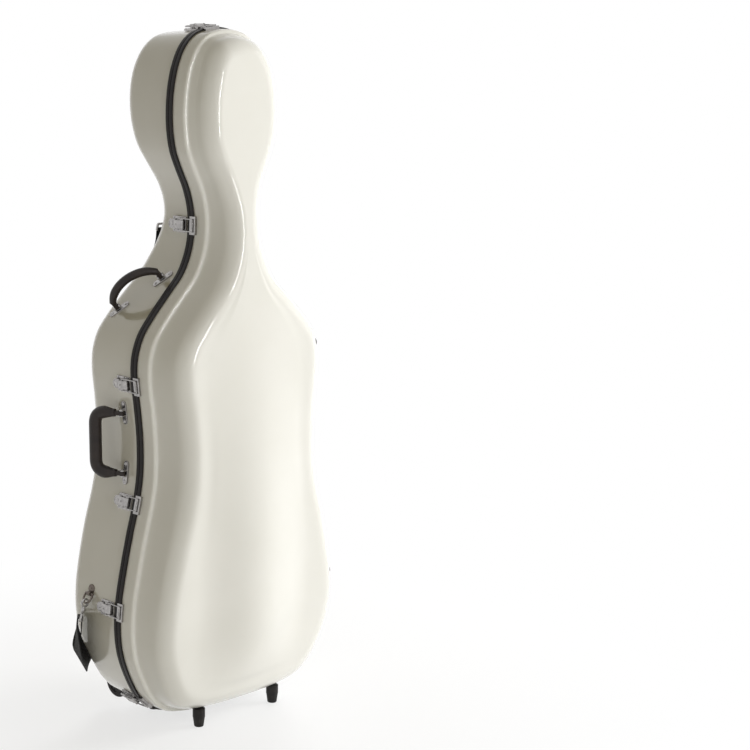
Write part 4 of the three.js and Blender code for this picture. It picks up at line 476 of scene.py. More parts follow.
def base_rings(skin, rim, steps=9, marks=BASE_MARKS, ribs=True):
    inset, radius = SHELL_INSET + skin, BASE_CORNER - skin
    corner = corner_rings(inset + BASE_DRAFT, radius, lambda z: base_depth(z) - skin, steps)
    start = ring_at(inset, rim)

    def crown(x, z, share):
        return base_depth(z) - skin + BASE_CROWN * smooth(share, 0, 1)

    face = face_rings(corner[-1], crown, marks)
    rings = [start, *between(start, corner[0], FLANK_STEPS), *corner, *face]
    first = FLANK_STEPS + 1
    for i, ring in enumerate(rings[first:] if ribs else []):
        turn = min(i / steps, 1) * math.pi / 2
        rise = rib_at(ring[:, 0], ring[:, 2])
        if i < steps:
            rise = rise * np.clip((FLANK_FOOT - AROUND[:, 1]) / FLANK_FADE, 0, 1) * smooth(i, 0, 4)
        ring[:, 1] += rise * math.sin(turn)
        ring[:, 2] -= rise * math.cos(turn)
    return rings


def lid_rings(skin, rim, steps=9, marks=LID_MARKS):
    inset, radius = SHELL_INSET + skin, LID_CORNER - skin
    strip = LID_STRIP - skin
    step_inset = inset + LID_STRIP_DRAFT + LID_STEP_ROUND + LID_STEP
    start = ring_at(inset, rim)
    turned_in = []
    for angle in np.linspace(0, math.pi / 2, 7):
        inward = LID_STEP_ROUND * (1 - math.cos(angle))
        turned_in.append(ring_at(inset + LID_STRIP_DRAFT + inward, strip + LID_STEP_ROUND * math.sin(angle)))
    foot = strip + LID_STEP_ROUND + LID_STEP_FALL
    cove = [ring_at(step_inset - LID_STEP * 0.45, foot - LID_STEP_FALL + 0.5),
            ring_at(step_inset - 0.8, foot - 1.2), ring_at(step_inset, foot + 1.5)]
    corner = corner_rings(step_inset + LID_WALL_DRAFT, radius, lambda z: lid_depth(z) - skin, steps)

    def bulged(x, z, share):
        return lid_depth(z) - skin + bulge_at(x, z) * smooth(share, 0, BULGE_SHARES["edge"])

    face = face_rings(corner[-1], bulged, marks)
    flank = [start, *between(start, turned_in[0], 2), *turned_in]
    return [*flank, *cove, *between(cove[-1], corner[0], 3), *corner, *face]


def mirrored(rings):
    return [ring * np.array((1, -1, 1)) for ring in rings]


def cutter(points, faces):
    return object_of("cutter", closed_mesh("cutter", points, faces))


def cut_out(piece, tools):
    for tool in tools:
        modifier = piece.modifiers.new("cut", "BOOLEAN")
        modifier.object = tool
        modifier.operation = "DIFFERENCE"
        modifier.solver = "EXACT"
    bpy.context.view_layer.update()
    graph = bpy.context.evaluated_depsgraph_get()
    data = bpy.data.meshes.new_from_object(piece.evaluated_get(graph))
    old = piece.data
    piece.modifiers.clear()
    piece.data = data
    for tool in tools:
        bpy.data.objects.remove(tool)
    bpy.data.meshes.remove(old)
    data.set_sharp_from_angle(angle=math.radians(50))


# Small shapes
Y_AXIS, Z_AXIS = Vector((0, 1, 0)), Vector((0, 0, 1))


def basis(origin, x, y):
    """A frame from its origin and the directions of its x and y."""
    x, y = Vector(x).normalized(), Vector(y).normalized()
    return Matrix.Translation(origin) @ Matrix((x, y, x.cross(y))).transposed().to_4x4()


def shift_of(x, y, z):
    return Matrix.Translation((x, y, z))


def turn_of(share, axis="X"):
    """A turn about an axis by a share of a right angle."""
    return Matrix.Rotation(share * math.pi / 2, 4, axis)


def put(axis, a, b, c):
    """A point at c along an axis, with a and b along the other two."""
    return {"x": (c, a, b), "y": (a, c, b), "z": (a, b, c)}[axis]


def prism(profile, low, high, axis="x"):
    """Points and faces of a profile pushed along an axis; the profile is in the other two."""
    points = [put(axis, a, b, c) for c in (low, high) for a, b in profile]
    return points, ring_faces(len(profile), 2, cap=True)


class Shape:
    """Closed bits of surface gathered into one mesh, each put in a frame of the case."""

    def __init__(self, frame=None):
        self.points, self.faces, self.frame = [], [], frame or Matrix()

    def add(self, made, frame=None):
        points, faces = made
        first = len(self.points)
        turn = self.frame @ frame if frame else self.frame
        self.points += [turn @ Vector(p) for p in points]
        self.faces += [tuple(first + i for i in face) for face in faces]
        return self

    def piece(self, name, material, body, bevel=0.0, segments=3, **more):
        more.setdefault("sharp", 180 if bevel else 35)
        made = mesh_piece(name, self.points, self.faces, material, body, **more)
        if bevel:
            soften(made, bevel, segments)
        return made


def soften(piece, width, segments=3, weld=False):
    """Rounds the edges of a piece by a width in millimetres."""
    if weld:
        piece.modifiers.new("weld", "WELD").merge_threshold = 2e-6
    edge = piece.modifiers.new("edges", "BEVEL")
    edge.width = width * MM
    edge.segments = segments
    edge.limit_method = "ANGLE"
    edge.angle_limit = math.radians(28)
    edge.use_clamp_overlap = True
    edge.harden_normals = True


def circle(radius, steps=20):
    angles = [2 * math.pi * i / steps for i in range(steps)]
    return [(radius * math.cos(a), radius * math.sin(a)) for a in angles]


def arc(x, y, radius, start, end, steps=8):
    angles = [math.radians(start + (end - start) * i / steps) for i in range(steps + 1)]
    return [(x + radius * math.cos(a), y + radius * math.sin(a)) for a in angles]


def rounded(x0, x1, y0, y1, radius, steps=6):
    """A rectangle with rounded corners, from its lower right corner round to the left."""
    left, right, low, high = x0 + radius, x1 - radius, y0 + radius, y1 - radius
    spots = ((right, low), (right, high), (left, high), (left, low))
    return [p for i, (x, y) in enumerate(spots) for p in arc(x, y, radius, 90 * i - 90, 90 * i, steps)]


def hollowed(outer, inner, low, high, axis="y"):
    """A plate with an opening; both outlines have the same number of points."""
    lines = ((outer, low), (outer, high), (inner, high), (inner, low))
    points = [put(axis, a, b, c) for line, c in lines for a, b in line]
    return points, ring_faces(len(outer), 4, loop=True)


def turned(profile, steps=32, axis="z", loop=False):
    """A profile of radius and place, turned about an axis."""
    points = [put(axis, a, b, at) for radius, at in profile for a, b in circle(radius, steps)]
    return points, ring_faces(steps, len(profile), loop=loop, cap=not loop)


def rod(axis, radius, low, high, round_off=0.3, steps=24):
    slim = radius - round_off
    profile = [(slim, low), (radius, low + round_off), (radius, high - round_off), (slim, high)]
    return turned(profile, steps, axis)


def block(x0, x1, y0, y1, z0, z1):
    return prism([(x0, y0), (x1, y0), (x1, y1), (x0, y1)], z0, z1, "z")


def swept(path, section, loop=False, across=None):
    """A section (u, v) carried along a path; u lies along "across" where that is given."""
    path = [Vector(p) for p in path]
    count = len(path)
    points, side = [], None
    for i, at in enumerate(path):
        back = path[(i - 1) % count] if loop or i else at
        ahead = path[(i + 1) % count] if loop or i < count - 1 else at
        along = (ahead - back).normalized()
        if across is not None:
            side = Vector(across[i])
        elif side is None:
            side = along.orthogonal()
        side = (side - along * side.dot(along)).normalized()
        out = along.cross(side)
        outline = section(i) if callable(section) else section
        points += [at + side * u + out * v for u, v in outline]
    return points, ring_faces(len(outline), count, loop=loop, cap=not loop)


def smooth_path(points, each):
    """A centripetal curve through points of any dimension, spaced by their first three."""
    points = [np.array(p, float) for p in points]
    ends = [2 * points[0] - points[1], *points, 2 * points[-1] - points[-2]]
    found = []
    for a, b, c, d in zip(ends, ends[1:], ends[2:], ends[3:]):
        g0, g1, g2 = (math.sqrt(max(np.linalg.norm((v - u)[:3]), 1e-6)) for u, v in ((a, b), (b, c), (c, d)))
        t1 = ((b - a) / g0 - (c - a) / (g0 + g1) + (c - b) / g1) * g1
        t2 = ((c - b) / g1 - (d - b) / (g1 + g2) + (d - c) / g2) * g1
        for w in np.arange(each) / each:
            found.append(b + t1 * w + (3 * (c - b) - 2 * t1 - t2) * w * w + (t1 + t2 - 2 * (c - b)) * w ** 3)
    found.append(points[-1])
    return found


# Places of the fittings, worked out as in the CAD model
CAD_AROUND, DEPTH_PROBE = 54, 2


def facet_corners():
    """Where the CAD model's facets meet on the outline's +X half."""
    gain = cad_base_depth(FINE[:, 1] + DEPTH_PROBE) - cad_base_depth(FINE[:, 1] - DEPTH_PROBE)
    slope = gain / (2 * DEPTH_PROBE) * np.abs(FINE_NORMAL[:, 0])
    travel, bend = run_of(FINE), run_of(np.column_stack([FINE_NORMAL, slope]))
    share = (travel / travel[-1] + bend / bend[-1]) / 2
    targets = np.linspace(0, 1, CAD_AROUND // 2 + 1) - 1e-9
    return FINE[np.minimum(np.searchsorted(share, targets), len(FINE) - 1)]


FACETS = facet_corners()


def stand_out(at, normal, reach):
    """How far the CAD model's flat facets stand out of the smooth wall within a reach of a place."""
    off = FACETS - at
    along, out = off[:, 1] * normal[0] - off[:, 0] * normal[1], off @ normal
    most = 0.0
    for pair in zip(zip(along, out), zip(along[1:], out[1:])):
        (start, low), (end, high) = sorted(pair)
        if start < reach and end > -reach:
            for spot in (max(start, -reach), min(end, reach)):
                most = max(most, low + (high - low) * (spot - start) / (end - start))
    return most


def wall_at(side, share, depth=0.0, reach=0.0):
    """A place on the side wall, its outward direction, and that direction with the wall's draft."""
    height = share * CASE_HEIGHT
    near = np.argmin(np.abs(FINE[:, 1] - height))
    at, normal = FINE[near], FINE_NORMAL[near]
    draft = BASE_DRAFT / (cad_base_depth(height) - BASE_CORNER)
    x, z = at - normal * (SHELL_INSET + draft * depth - stand_out(at, normal, reach))
    out = Vector((side * normal[0], 0, normal[1]))
    return Vector((side * x, depth, z)), out, (out + Y_AXIS * draft).normalized()


def wall_frame(wall):
    """Frame of a wall fitting: x along the wall, y to the back, z outwards."""
    return basis(wall[0], Y_AXIS.cross(wall[1]), Y_AXIS)


def axis_frame(low, high, rise):
    """Frame on the line through two wall places, lifted off the wall: x along it, z outwards."""
    along = (high[0] - low[0]).normalized()
    normal = low[1] + high[1]
    normal = (normal - along * normal.dot(along)).normalized()
    return basis((low[0] + high[0]) / 2 + normal * rise, along, normal.cross(along))


def strap_place(shares):
    """A place of the strap: shares of the half width, of the back's depth there and of the height."""
    height = shares[2] * CASE_HEIGHT
    return Vector((shares[0] * HALF_WIDTH, shares[1] * cad_base_depth(height), height))


def strap_frame(upper, lower, across):
    """Frame midway between two places of the strap: x across it, y outwards, z up the strap."""
    high, low = strap_place(upper), strap_place(lower)
    z = (high - low).normalized()
    x = (Vector(across) - z * z.dot(Vector(across))).normalized()
    return basis((high + low) / 2, x, z.cross(x))


# Pull handle: its frame is on the pivot line, y out of the back and z up it
PULL_PIVOT_RISE, PULL_KNUCKLE, PULL_KNUCKLES = 2, 5.5, 7
PULL_LOOP_HALF, PULL_LOOP_DROP, PULL_LOOP_HEIGHT, PULL_CORNER = 59, 36, 77, 9
PULL_BLOCK_LEFT, PULL_BLOCK_RIGHT, PULL_BLOCK_ABOVE = -43, 17, 15
PULL_LOOP_FOOT = -PULL_LOOP_DROP - PULL_LOOP_HEIGHT
POCKET_FLOOR, POCKET_CLEARANCE, POCKET_TOP = -17, 2.5, 30
CLOTH = 0.8


def pull_frame():
    top, foot = (Vector((0, cad_base_depth(z), z)) for z in
                 (PULL_SHARE * CASE_HEIGHT, PULL_SHARE * CASE_HEIGHT + PULL_LOOP_FOOT))
    out = (top - foot).cross(Vector((1, 0, 0))).normalized()
    return basis(top + out * (PULL_PIVOT_RISE + BASE_CROWN), (1, 0, 0), out)


PULL_FRAME = pull_frame()


def pocket_outlines(margin, head_foot, head_corner):
    """Outlines of the recess, wider by a margin: the loop's part and the hinge block's part."""
    half, top = PULL_LOOP_HALF + margin, margin - PULL_LOOP_DROP
    tray = rounded(-half, half, PULL_LOOP_FOOT - margin, top, PULL_CORNER + margin)
    left, right = PULL_BLOCK_LEFT - margin, PULL_BLOCK_RIGHT + margin
    return tray, rounded(left, right, head_foot, PULL_BLOCK_ABOVE + margin, head_corner)


def pocket_tools(margin, depth):
    """Cutters for the space of the recess."""
    middle = PULL_LOOP_FOOT / 2 - PULL_LOOP_DROP / 2
    outlines = pocket_outlines(margin, middle, (PULL_CORNER + margin) / 2)
    made = [prism(outline, depth, POCKET_TOP, "y") for outline in outlines]
    return [cutter([PULL_FRAME @ Vector(p) for p in points], faces) for points, faces in made]


# Wheels and their housings
WHEEL_PLACE, WHEEL_DEPTH = WHEEL_SHARES[0] * HALF_WIDTH, WHEEL_SHARES[1] * BASE_DEPTH
WHEEL_HEIGHT, WHEEL_RADIUS, WHEEL_HALF = 50, 31, 9.5
HOUSING_AHEAD, HOUSING_TOP, HOUSING_CORNER = 37, 96, 12
HOUSING_HALF = WHEEL_HALF + 5.2
AXLE_HOLE = 8
BEYOND_FOOT, BEYOND_BACK = -30, 260


def housing_tools(margin):
    """Cutters for the corners that the wheel housings fill."""
    near, high, corner = WHEEL_DEPTH - HOUSING_AHEAD - margin, HOUSING_TOP + margin, HOUSING_CORNER + margin
    profile = [(near, BEYOND_FOOT), *arc(near + corner, high - corner, corner, 180, 90, 6),
               (BEYOND_BACK, high), (BEYOND_BACK, BEYOND_FOOT)]
    half = HOUSING_HALF + margin
    middles = (-WHEEL_PLACE, WHEEL_PLACE)
    return [cutter(*prism(profile, middle - half, middle + half, "x")) for middle in middles]


def axle_tools():
    """Cutters for the axles' heads beyond the housings."""
    tools = []
    for side in (-1, 1):
        points, faces = rod("x", AXLE_HOLE, HOUSING_HALF - GAP, 40, 0.2)
        tools.append(cutter([(side * (WHEEL_PLACE + p[0]), WHEEL_DEPTH + p[1], WHEEL_HEIGHT + p[2])
                             for p in points], faces))
    return tools


# Shells, bands and linings
base_skins = [*base_rings(0, RIM)[::-1], *base_rings(WALL, RIM, 3, INNER_MARKS, False)]
base_shell = lofted("base_shell_moulding", base_skins, "paint", "base", cap=False,
                    replaces=["base_shell"], sharp=50, weld=2e-5)
cut_out(base_shell, [*pocket_tools(POCKET_CLEARANCE, POCKET_FLOOR), *housing_tools(GAP), *axle_tools()])
lofted("lid_shell_moulding", mirrored([*lid_rings(0, RIM)[::-1], *lid_rings(WALL, RIM, 3, INNER_MARKS)]),
       "paint", "lid", cap=False, replaces=["lid_shell"], sharp=50, weld=2e-5)


def pocket_wall(names, material, margin, low, high, head, clear, floors, **more):
    """The wall round the recess in two parts, each a solid block less the space of both."""
    outlines = pocket_outlines(margin, *head)
    for part, outline, inset, floor in zip(("tray", "head"), outlines, (0, 0.02), floors):
        made = Shape(PULL_FRAME).add(prism(outline, low + inset, high - inset, "y"))
        cut_out(made.piece(names.format(part), material, "base", **more), pocket_tools(clear, floor))


POCKET_MARGIN = POCKET_CLEARANCE + WALL
pocket_wall("pull_pocket_{}", "paint", POCKET_MARGIN, POCKET_FLOOR - WALL, -5, (-74, 9),
            POCKET_CLEARANCE, (POCKET_FLOOR, POCKET_FLOOR - 0.02))
cloth_floor = POCKET_FLOOR - WALL - 0.1
pocket_wall("pocket_{}_cloth", "lining", POCKET_MARGIN + 0.6, POCKET_FLOOR - WALL - CLOTH, -11, (-73.5, 9.6),
            POCKET_MARGIN + 0.05, (cloth_floor, cloth_floor), replaces=["base_lining"])

BAND_FOOT_ROUND, BAND_EDGE_ROUND = 1.6, 1.3
inner_edge = SHELL_INSET + WALL
band_section = [(inner_edge, GAP), *arc(BAND_FOOT_ROUND, GAP + BAND_FOOT_ROUND, BAND_FOOT_ROUND, 270, 180, 5),
                *arc(BAND_EDGE_ROUND, BAND_WIDTH - BAND_EDGE_ROUND, BAND_EDGE_ROUND, 180, 90, 5),
                (BAND_PROUD, BAND_WIDTH), (BAND_PROUD, GAP + BAND_CAP), (inner_edge, GAP + BAND_CAP)]
band_rings = [ring_at(inset, depth) for inset, depth in band_section]
lofted("base_edge_moulding", band_rings, "band", "base", loop=True, replaces=["base_edge_band"], sharp=40)
lofted("lid_edge_moulding", mirrored(band_rings), "band", "lid", loop=True,
       replaces=["lid_edge_band"], sharp=40)


def lining_rings(rings, **more):
    """A lining inside a half's wall, with a soft roll along its rim."""
    outer = rings(WALL + GAP, RIM, 4, INNER_MARKS, **more)
    inner = rings(WALL + GAP + LINING, RIM + 3, 5, INNER_MARKS, **more)
    roll = [outer[0] + (inner[0] - outer[0]) * share + np.array((0, rise, 0))
            for share, rise in ((0.25, -2.2), (0.5, -3), (0.75, -2.2))]
    return [*outer[::-1], *roll, *inner]


base_lining = lofted("base_plush_lining", lining_rings(base_rings, ribs=False), "lining", "base", cap=False,
                     replaces=["base_lining"], sharp=60, weld=2e-5)
cut_out(base_lining, [*pocket_tools(WALL + GAP, POCKET_FLOOR - WALL - GAP), *housing_tools(GAP)])
lofted("lid_plush_lining", mirrored(lining_rings(lid_rings)), "lining", "lid", cap=False,
       replaces=["lid_lining"], sharp=60, weld=2e-5)

# Neck rest: a padded block with a notch for the instrument's neck
REST_HALF, REST_START, REST_BACK, REST_ROUND = 44, 38, 76, 20
REST_FOOT, REST_TOP, REST_SOFTNESS = 951.5, 984.5, 4
NOTCH_HALF, NOTCH_FLOOR, NOTCH_ROUND = 29, 61, 7
notch, shoulder = NOTCH_HALF - NOTCH_ROUND, REST_HALF - REST_ROUND
rest_outline = [
    (-REST_HALF, REST_START), (-NOTCH_HALF, REST_START), *arc(-notch, NOTCH_FLOOR, NOTCH_ROUND, 180, 270, 5),
    *arc(notch, NOTCH_FLOOR, NOTCH_ROUND, 270, 360, 5), (NOTCH_HALF, REST_START), (REST_HALF, REST_START),
    (REST_HALF, REST_BACK), *arc(shoulder, REST_BACK, REST_ROUND, 0, 90, 5),
    *arc(-shoulder, REST_BACK, REST_ROUND, 90, 180, 5), (-REST_HALF, REST_BACK),
]
neck_rest = Shape().add(prism(rest_outline, REST_FOOT, REST_TOP, "z"))
neck_rest.piece("neck_rest_padding", "lining", "base", bevel=REST_SOFTNESS, replaces=["base_lining"])


# Latches: x along the band, y across it towards the base, z out of the wall
PLATE_HALF, PLATE_START, PLATE_END, PLATE_RISE, PLATE_SINK = 15, 13, 50, 1.2, 2.4
PIN_PLACE, PIN_RISE, PIN_RADIUS, PIN_END = 19, 5.4, 1.6, 11.1
PLATE_SCREW_ACROSS, PLATE_SCREWS_ALONG = 12.6, (24, 46)
EAR_INSIDE, EAR_THICK, EAR_RADIUS = 8.6, 2, 4.2
BARREL, THROW, LEVER_HALF, LEVER_LOW, LEVER_HIGH, BOX_END = 3.4, 11, 8.3, -3.9, 4, 22
TAB_HALF, TAB_START, TAB_MIDDLE, TAB_LOW, TAB_HIGH = 9.5, 19, 29.5, -1.8, 0.4
DISH_HALF, DISH_START, DISH_FLOOR = 7.6, 19.5, -0.3
KEYHOLE_PLACE, SLIT_HALF = 14, 0.35
BAIL_INSIDE, BAIL_OUTSIDE, BAIL_EYE, BAIL_PIN, BAIL_PIN_END = 10.9, 12.7, 3.2, 1.5, 13
BAIL_FRONT, BAIL_BAR, BAIL_LOW, BAIL_HIGH = -41.6, 1.9, -0.4, 2
KEEPER_HALF, KEEPER_END, KEEPER_WALL, KEEPER_LOW, KEEPER_HIGH = 17.5, -15, -9.6, 3.4, 4.6
LIP_HALF, LIP_FRONT, LIP_ROUND = 7.5, -7.2, 1.3
# Half section of a screw's head: shares of its radius and of its rise
DOME_SHARES = [(1, 0), (1, 0.35), (0.8, 0.75), (0.45, 1), (0.2, 0.55)]
AXIS_GAP = 0.02


def screw(radius=3.2, rise=1.4, axis="y"):
    """A low domed screw head with a dimple in its middle."""
    dome = [(radius * out, rise * up) for out, up in DOME_SHARES]
    return turned([*dome, (AXIS_GAP, rise * 0.5)], 20, axis)


def latch(name, side, share):
    frame = wall_frame(wall_at(side, share, 0, KEEPER_HALF))
    pivot = frame @ shift_of(0, PIN_PLACE, PIN_RISE)
    lever, solid = f"lever_{name}", {"replaces": [f"latch_lever_{name}"]}

    base = Shape(frame)
    outline = rounded(-PLATE_HALF, PLATE_HALF, PLATE_START, PLATE_END, 2.2)
    base.add(prism(outline, -PLATE_SINK, PLATE_RISE, "z"))
    ear = [(PIN_PLACE - EAR_RADIUS, 0), *arc(PIN_PLACE, PIN_RISE, EAR_RADIUS, 180, 0, 10),
           (PIN_PLACE + EAR_RADIUS, 0)]
    for start in (-EAR_INSIDE - EAR_THICK, EAR_INSIDE):
        base.add(prism(ear, start, start + EAR_THICK, "x"))
    base.piece(f"latch_plate_{name}", "metal", "base", bevel=0.45)
    pins = Shape(pivot).add(rod("x", PIN_RADIUS, -PIN_END, PIN_END))
    for x in (-PLATE_SCREW_ACROSS, PLATE_SCREW_ACROSS):
        for y in PLATE_SCREWS_ALONG:
            pins.add(screw(1.7, 0.9, "z"), shift_of(x, y - PIN_PLACE, PLATE_RISE - PIN_RISE))
    pins.piece(f"latch_pin_{name}", "metal", "base")

    box = [*arc(0, 0, BARREL, 90, 270, 10), (BARREL, LEVER_LOW), (BOX_END - 4, LEVER_LOW),
           (BOX_END - 0.4, -1.8), (BOX_END, 0.4), (BOX_END - 2, LEVER_HIGH), (BARREL, LEVER_HIGH)]
    made = Shape(pivot).add(prism(box, -LEVER_HALF, LEVER_HALF, "x"))
    made.piece(f"lever_box_{name}", "metal", lever, bevel=0.9, segments=4, **solid)
    tab, dish = ([(-half, start), (half, start), *arc(0, TAB_MIDDLE, half, 0, 180, 24)]
                 for half, start in ((TAB_HALF, TAB_START), (DISH_HALF, DISH_START)))
    lines = ((tab, TAB_LOW), (tab, TAB_HIGH), (dish, TAB_HIGH), (dish, DISH_FLOOR))
    points = [(a, b, c) for line, c in lines for a, b in line]
    made = Shape(pivot).add((points, ring_faces(len(tab), 4, cap=True)))
    boss = [(3.4, -0.4), (3.1, 0.25), (2.0, 0.55), (AXIS_GAP, 0.6)]
    made.add(turned(boss, 20), shift_of(0, TAB_MIDDLE, 0))
    made.piece(f"lever_tab_{name}", "metal", lever, bevel=0.4, **solid)
    made = Shape(pivot).add(rod("x", BAIL_PIN, -BAIL_PIN_END, BAIL_PIN_END), shift_of(0, THROW, 0))
    ring = [(2.4, 0), (2.4, 0.35), (2.0, 0.5), (1.5, 0.5), (1.4, 0.2), (AXIS_GAP, 0.2)]
    made.add(turned(ring, 20), shift_of(0, KEYHOLE_PLACE, LEVER_HIGH))
    made.piece(f"lever_pin_{name}", "metal", lever, **solid)
    # The keyhole is a black disc and slit laid on the lever: painted shade standing in for the lock's hole.
    made = Shape(pivot @ shift_of(0, KEYHOLE_PLACE + 0.4, LEVER_HIGH + 0.1))
    made.add(turned([(0.75, 0), (0.75, 0.14), (AXIS_GAP, 0.16)], 14))
    made.add(block(-SLIT_HALF, SLIT_HALF, -1.8, 0, 0, 0.15))
    made.piece(f"lever_keyhole_painted_shade_{name}", "plastic", lever, **solid)

    bail = Shape(pivot @ shift_of(0, THROW, 0))
    leg = [(BAIL_FRONT, BAIL_LOW), (-4, BAIL_LOW), *arc(0, 0, BAIL_EYE, -115, 130, 12), (-4, BAIL_HIGH),
           (BAIL_FRONT, BAIL_HIGH)]
    for start in (-BAIL_OUTSIDE, BAIL_INSIDE):
        bail.add(prism(leg, start, start + BAIL_OUTSIDE - BAIL_INSIDE, "x"))
    bail.add(block(-BAIL_OUTSIDE, BAIL_OUTSIDE, BAIL_FRONT, BAIL_FRONT + BAIL_BAR, BAIL_LOW, BAIL_HIGH))
    bail.piece(f"bail_loop_{name}", "metal", f"bail_{name}", bevel=0.4, replaces=[f"latch_bail_{name}"])

    keeper, thick = Shape(frame), KEEPER_HIGH - KEEPER_LOW
    plate = [(KEEPER_END, -PLATE_SINK), (KEEPER_WALL, -PLATE_SINK), (KEEPER_WALL, KEEPER_LOW),
             (-1, KEEPER_LOW), (-1, KEEPER_HIGH), (KEEPER_END + thick, KEEPER_HIGH), (KEEPER_END, KEEPER_LOW)]
    keeper.add(prism(plate, -KEEPER_HALF, KEEPER_HALF, "x"))
    lip = [(-9.1, KEEPER_LOW), (LIP_FRONT, KEEPER_LOW), (LIP_FRONT, KEEPER_HIGH + 2.6),
           *arc(-8.6, KEEPER_HIGH + 2.2, LIP_ROUND, 0, 140, 5),
           (-9.7, KEEPER_HIGH + 2), (-9.1, KEEPER_HIGH + 1)]
    keeper.add(prism(lip, -LIP_HALF, LIP_HALF, "x"))
    keeper.piece(f"keeper_plate_{name}", "metal", "lid", bevel=0.4)


for spot, (side, share) in LATCH_SHARES.items():
    latch(spot, side, share)

# Hinges: x along the pin, y towards the base, z out of the wall
HINGE_HALF, HINGE_RISE, KNUCKLE_RADIUS, KNUCKLE_GAP = 23, 6.8, 4, 0.3
LINK_TOP, LINK_LOW, LINK_FOOT, LINK_INSIDE, LINK_OUTSIDE = -1.5, -3.7, -9.9, 9.6, 11.8
LEAF_HALF, LEAF_START, LEAF_END, LEAF_SINK, LEAF_RISE = 24.1, 9.3, 31, 3, 2.5
LEAF_SCREW_GAP, LEAF_SCREW_PLACE = 17, 21
HINGE_PIN_RADIUS, HINGE_HEAD_RADIUS, HINGE_HEAD_END = 2, 2.9, 25.2
hinge_walls = {spot: wall_at(1, share, 0, HINGE_HALF) for spot, share in HINGE_SHARES.items()}
HINGE_LINE = axis_frame(hinge_walls["upper"], hinge_walls["lower"], SHELL_INSET + HINGE_RISE)


def hinge(name, wall):
    along = HINGE_LINE.col[0].to_3d()
    travel = along * (wall[0] - HINGE_LINE.translation).dot(along)
    frame, leaf_frame, third = shift_of(*travel) @ HINGE_LINE, wall_frame(wall), HINGE_HALF / 3
    barrels = {"base": [(-HINGE_HALF, -third - KNUCKLE_GAP), (third + KNUCKLE_GAP, HINGE_HALF)],
               "lid": [(-third, third)]}
    for body, side in (("base", 1), ("lid", -1)):
        node = f"hinge_{name}_{body}"
        knuckles = Shape(frame)
        near, far = side * LINK_INSIDE, side * LINK_OUTSIDE
        link = [(0, LINK_LOW), (far, LINK_LOW), (far, LINK_FOOT),
                (near, LINK_FOOT), (near, LINK_TOP), (0, LINK_TOP)]
        for low, high in barrels[body]:
            knuckles.add(rod("x", KNUCKLE_RADIUS, low, high, 0.5))
            knuckles.add(prism(link[::side], low, high, "x"))
        knuckles.piece(f"{node}_knuckles", "metal", body, bevel=0.4, replaces=[f"{node}_leaf"])
        a, b = sorted((side * LEAF_START, side * LEAF_END))
        outline = rounded(-LEAF_HALF, LEAF_HALF, a, b, 2)
        flange = Shape(leaf_frame).add(prism(outline, -LEAF_SINK, LEAF_RISE, "z"))
        flange.piece(f"{node}_plate", "metal", body, bevel=0.5, replaces=[f"{node}_leaf"])
        heads = Shape(leaf_frame)
        for x in (-LEAF_SCREW_GAP, 0, LEAF_SCREW_GAP):
            heads.add(screw(3, 1.2, "z"), shift_of(x, side * LEAF_SCREW_PLACE, LEAF_RISE))
        heads.piece(f"{node}_screws", "metal", body, replaces=[f"{node}_leaf"])
    pin = Shape(frame).add(rod("x", HINGE_PIN_RADIUS, -LEAF_HALF, LEAF_HALF, 0.4))
    pin.add(rod("x", HINGE_HEAD_RADIUS, HINGE_HALF, HINGE_HEAD_END, 0.6))
    pin.piece(f"hinge_{name}_pin", "metal", "base", replaces=[f"hinge_{name}_base_leaf"])


for spot, wall in hinge_walls.items():
    hinge(spot, wall)

# Carrying handles: x along the pivot line, z out of the wall
BRACKET_PIVOT, BRACKET_HALF, BRACKET_WIDE, BRACKET_RISE, BRACKET_SINK = 9, 23, 6.5, 2.4, 3
BRACKET_SCREW_PLACE, BRACKET_PIN_RADIUS, BRACKET_PIN_HALF = 17.2, 2.2, 7.4
EYE_RADIUS, EYE_INSIDE, EYE_THICK, EYE_FOOT = 5.2, 4.1, 2.6, -12
TONGUE_RADIUS, TONGUE_END, TONGUE_HALF = 5.4, 18, 3.8
GRIP_START, GRIP_TAPER = 13, 26
SIDE_REACH, SIDE_BEND, SIDE_RADIUS, SIDE_END_SHARE = 56, 24, 12.2, 0.6
SHOULDER_REACH, SHOULDER_INWARD, SHOULDER_RADIUS, SHOULDER_END_SHARE = 39, 22, 8.4, 0.8


def bent_path(half):
    """From one pivot out, across and back to the other, in the grip's x-z plane."""
    inner, legs = half - SIDE_BEND, SIDE_REACH - SIDE_BEND
    rising = [(-half, 0, GRIP_START + (legs - GRIP_START) * i / 5) for i in range(5)]
    corner = []
    for t in np.linspace(0, 1, 13):
        u, v, w = (1 - t) ** 2, 2 * t * (1 - t), t * t
        corner.append((-u * half - v * half - w * inner, 0, u * legs + v * SIDE_REACH + w * SIDE_REACH))
    top = [(inner * (2 * i / 5 - 1), 0, SIDE_REACH) for i in range(1, 5)]
    return [*rising, *corner, *top, *[(-x, 0, z) for x, _, z in [*rising, *corner][::-1]]]


def arch_path(half):
    """One arch between the two pivots; its legs lean in."""
    high = (4 * SHOULDER_REACH - GRIP_START) / 3
    inner = half - SHOULDER_INWARD
    spots = [(-half, GRIP_START), (-inner, high), (inner, high), (half, GRIP_START)]
    path = []
    for t in np.linspace(0, 1, 41):
        shares = ((1 - t) ** 3, 3 * t * (1 - t) ** 2, 3 * t * t * (1 - t), t ** 3)
        x, z = (sum(share * spot[k] for share, spot in zip(shares, spots)) for k in (0, 1))
        path.append((x, 0, z))
    return path


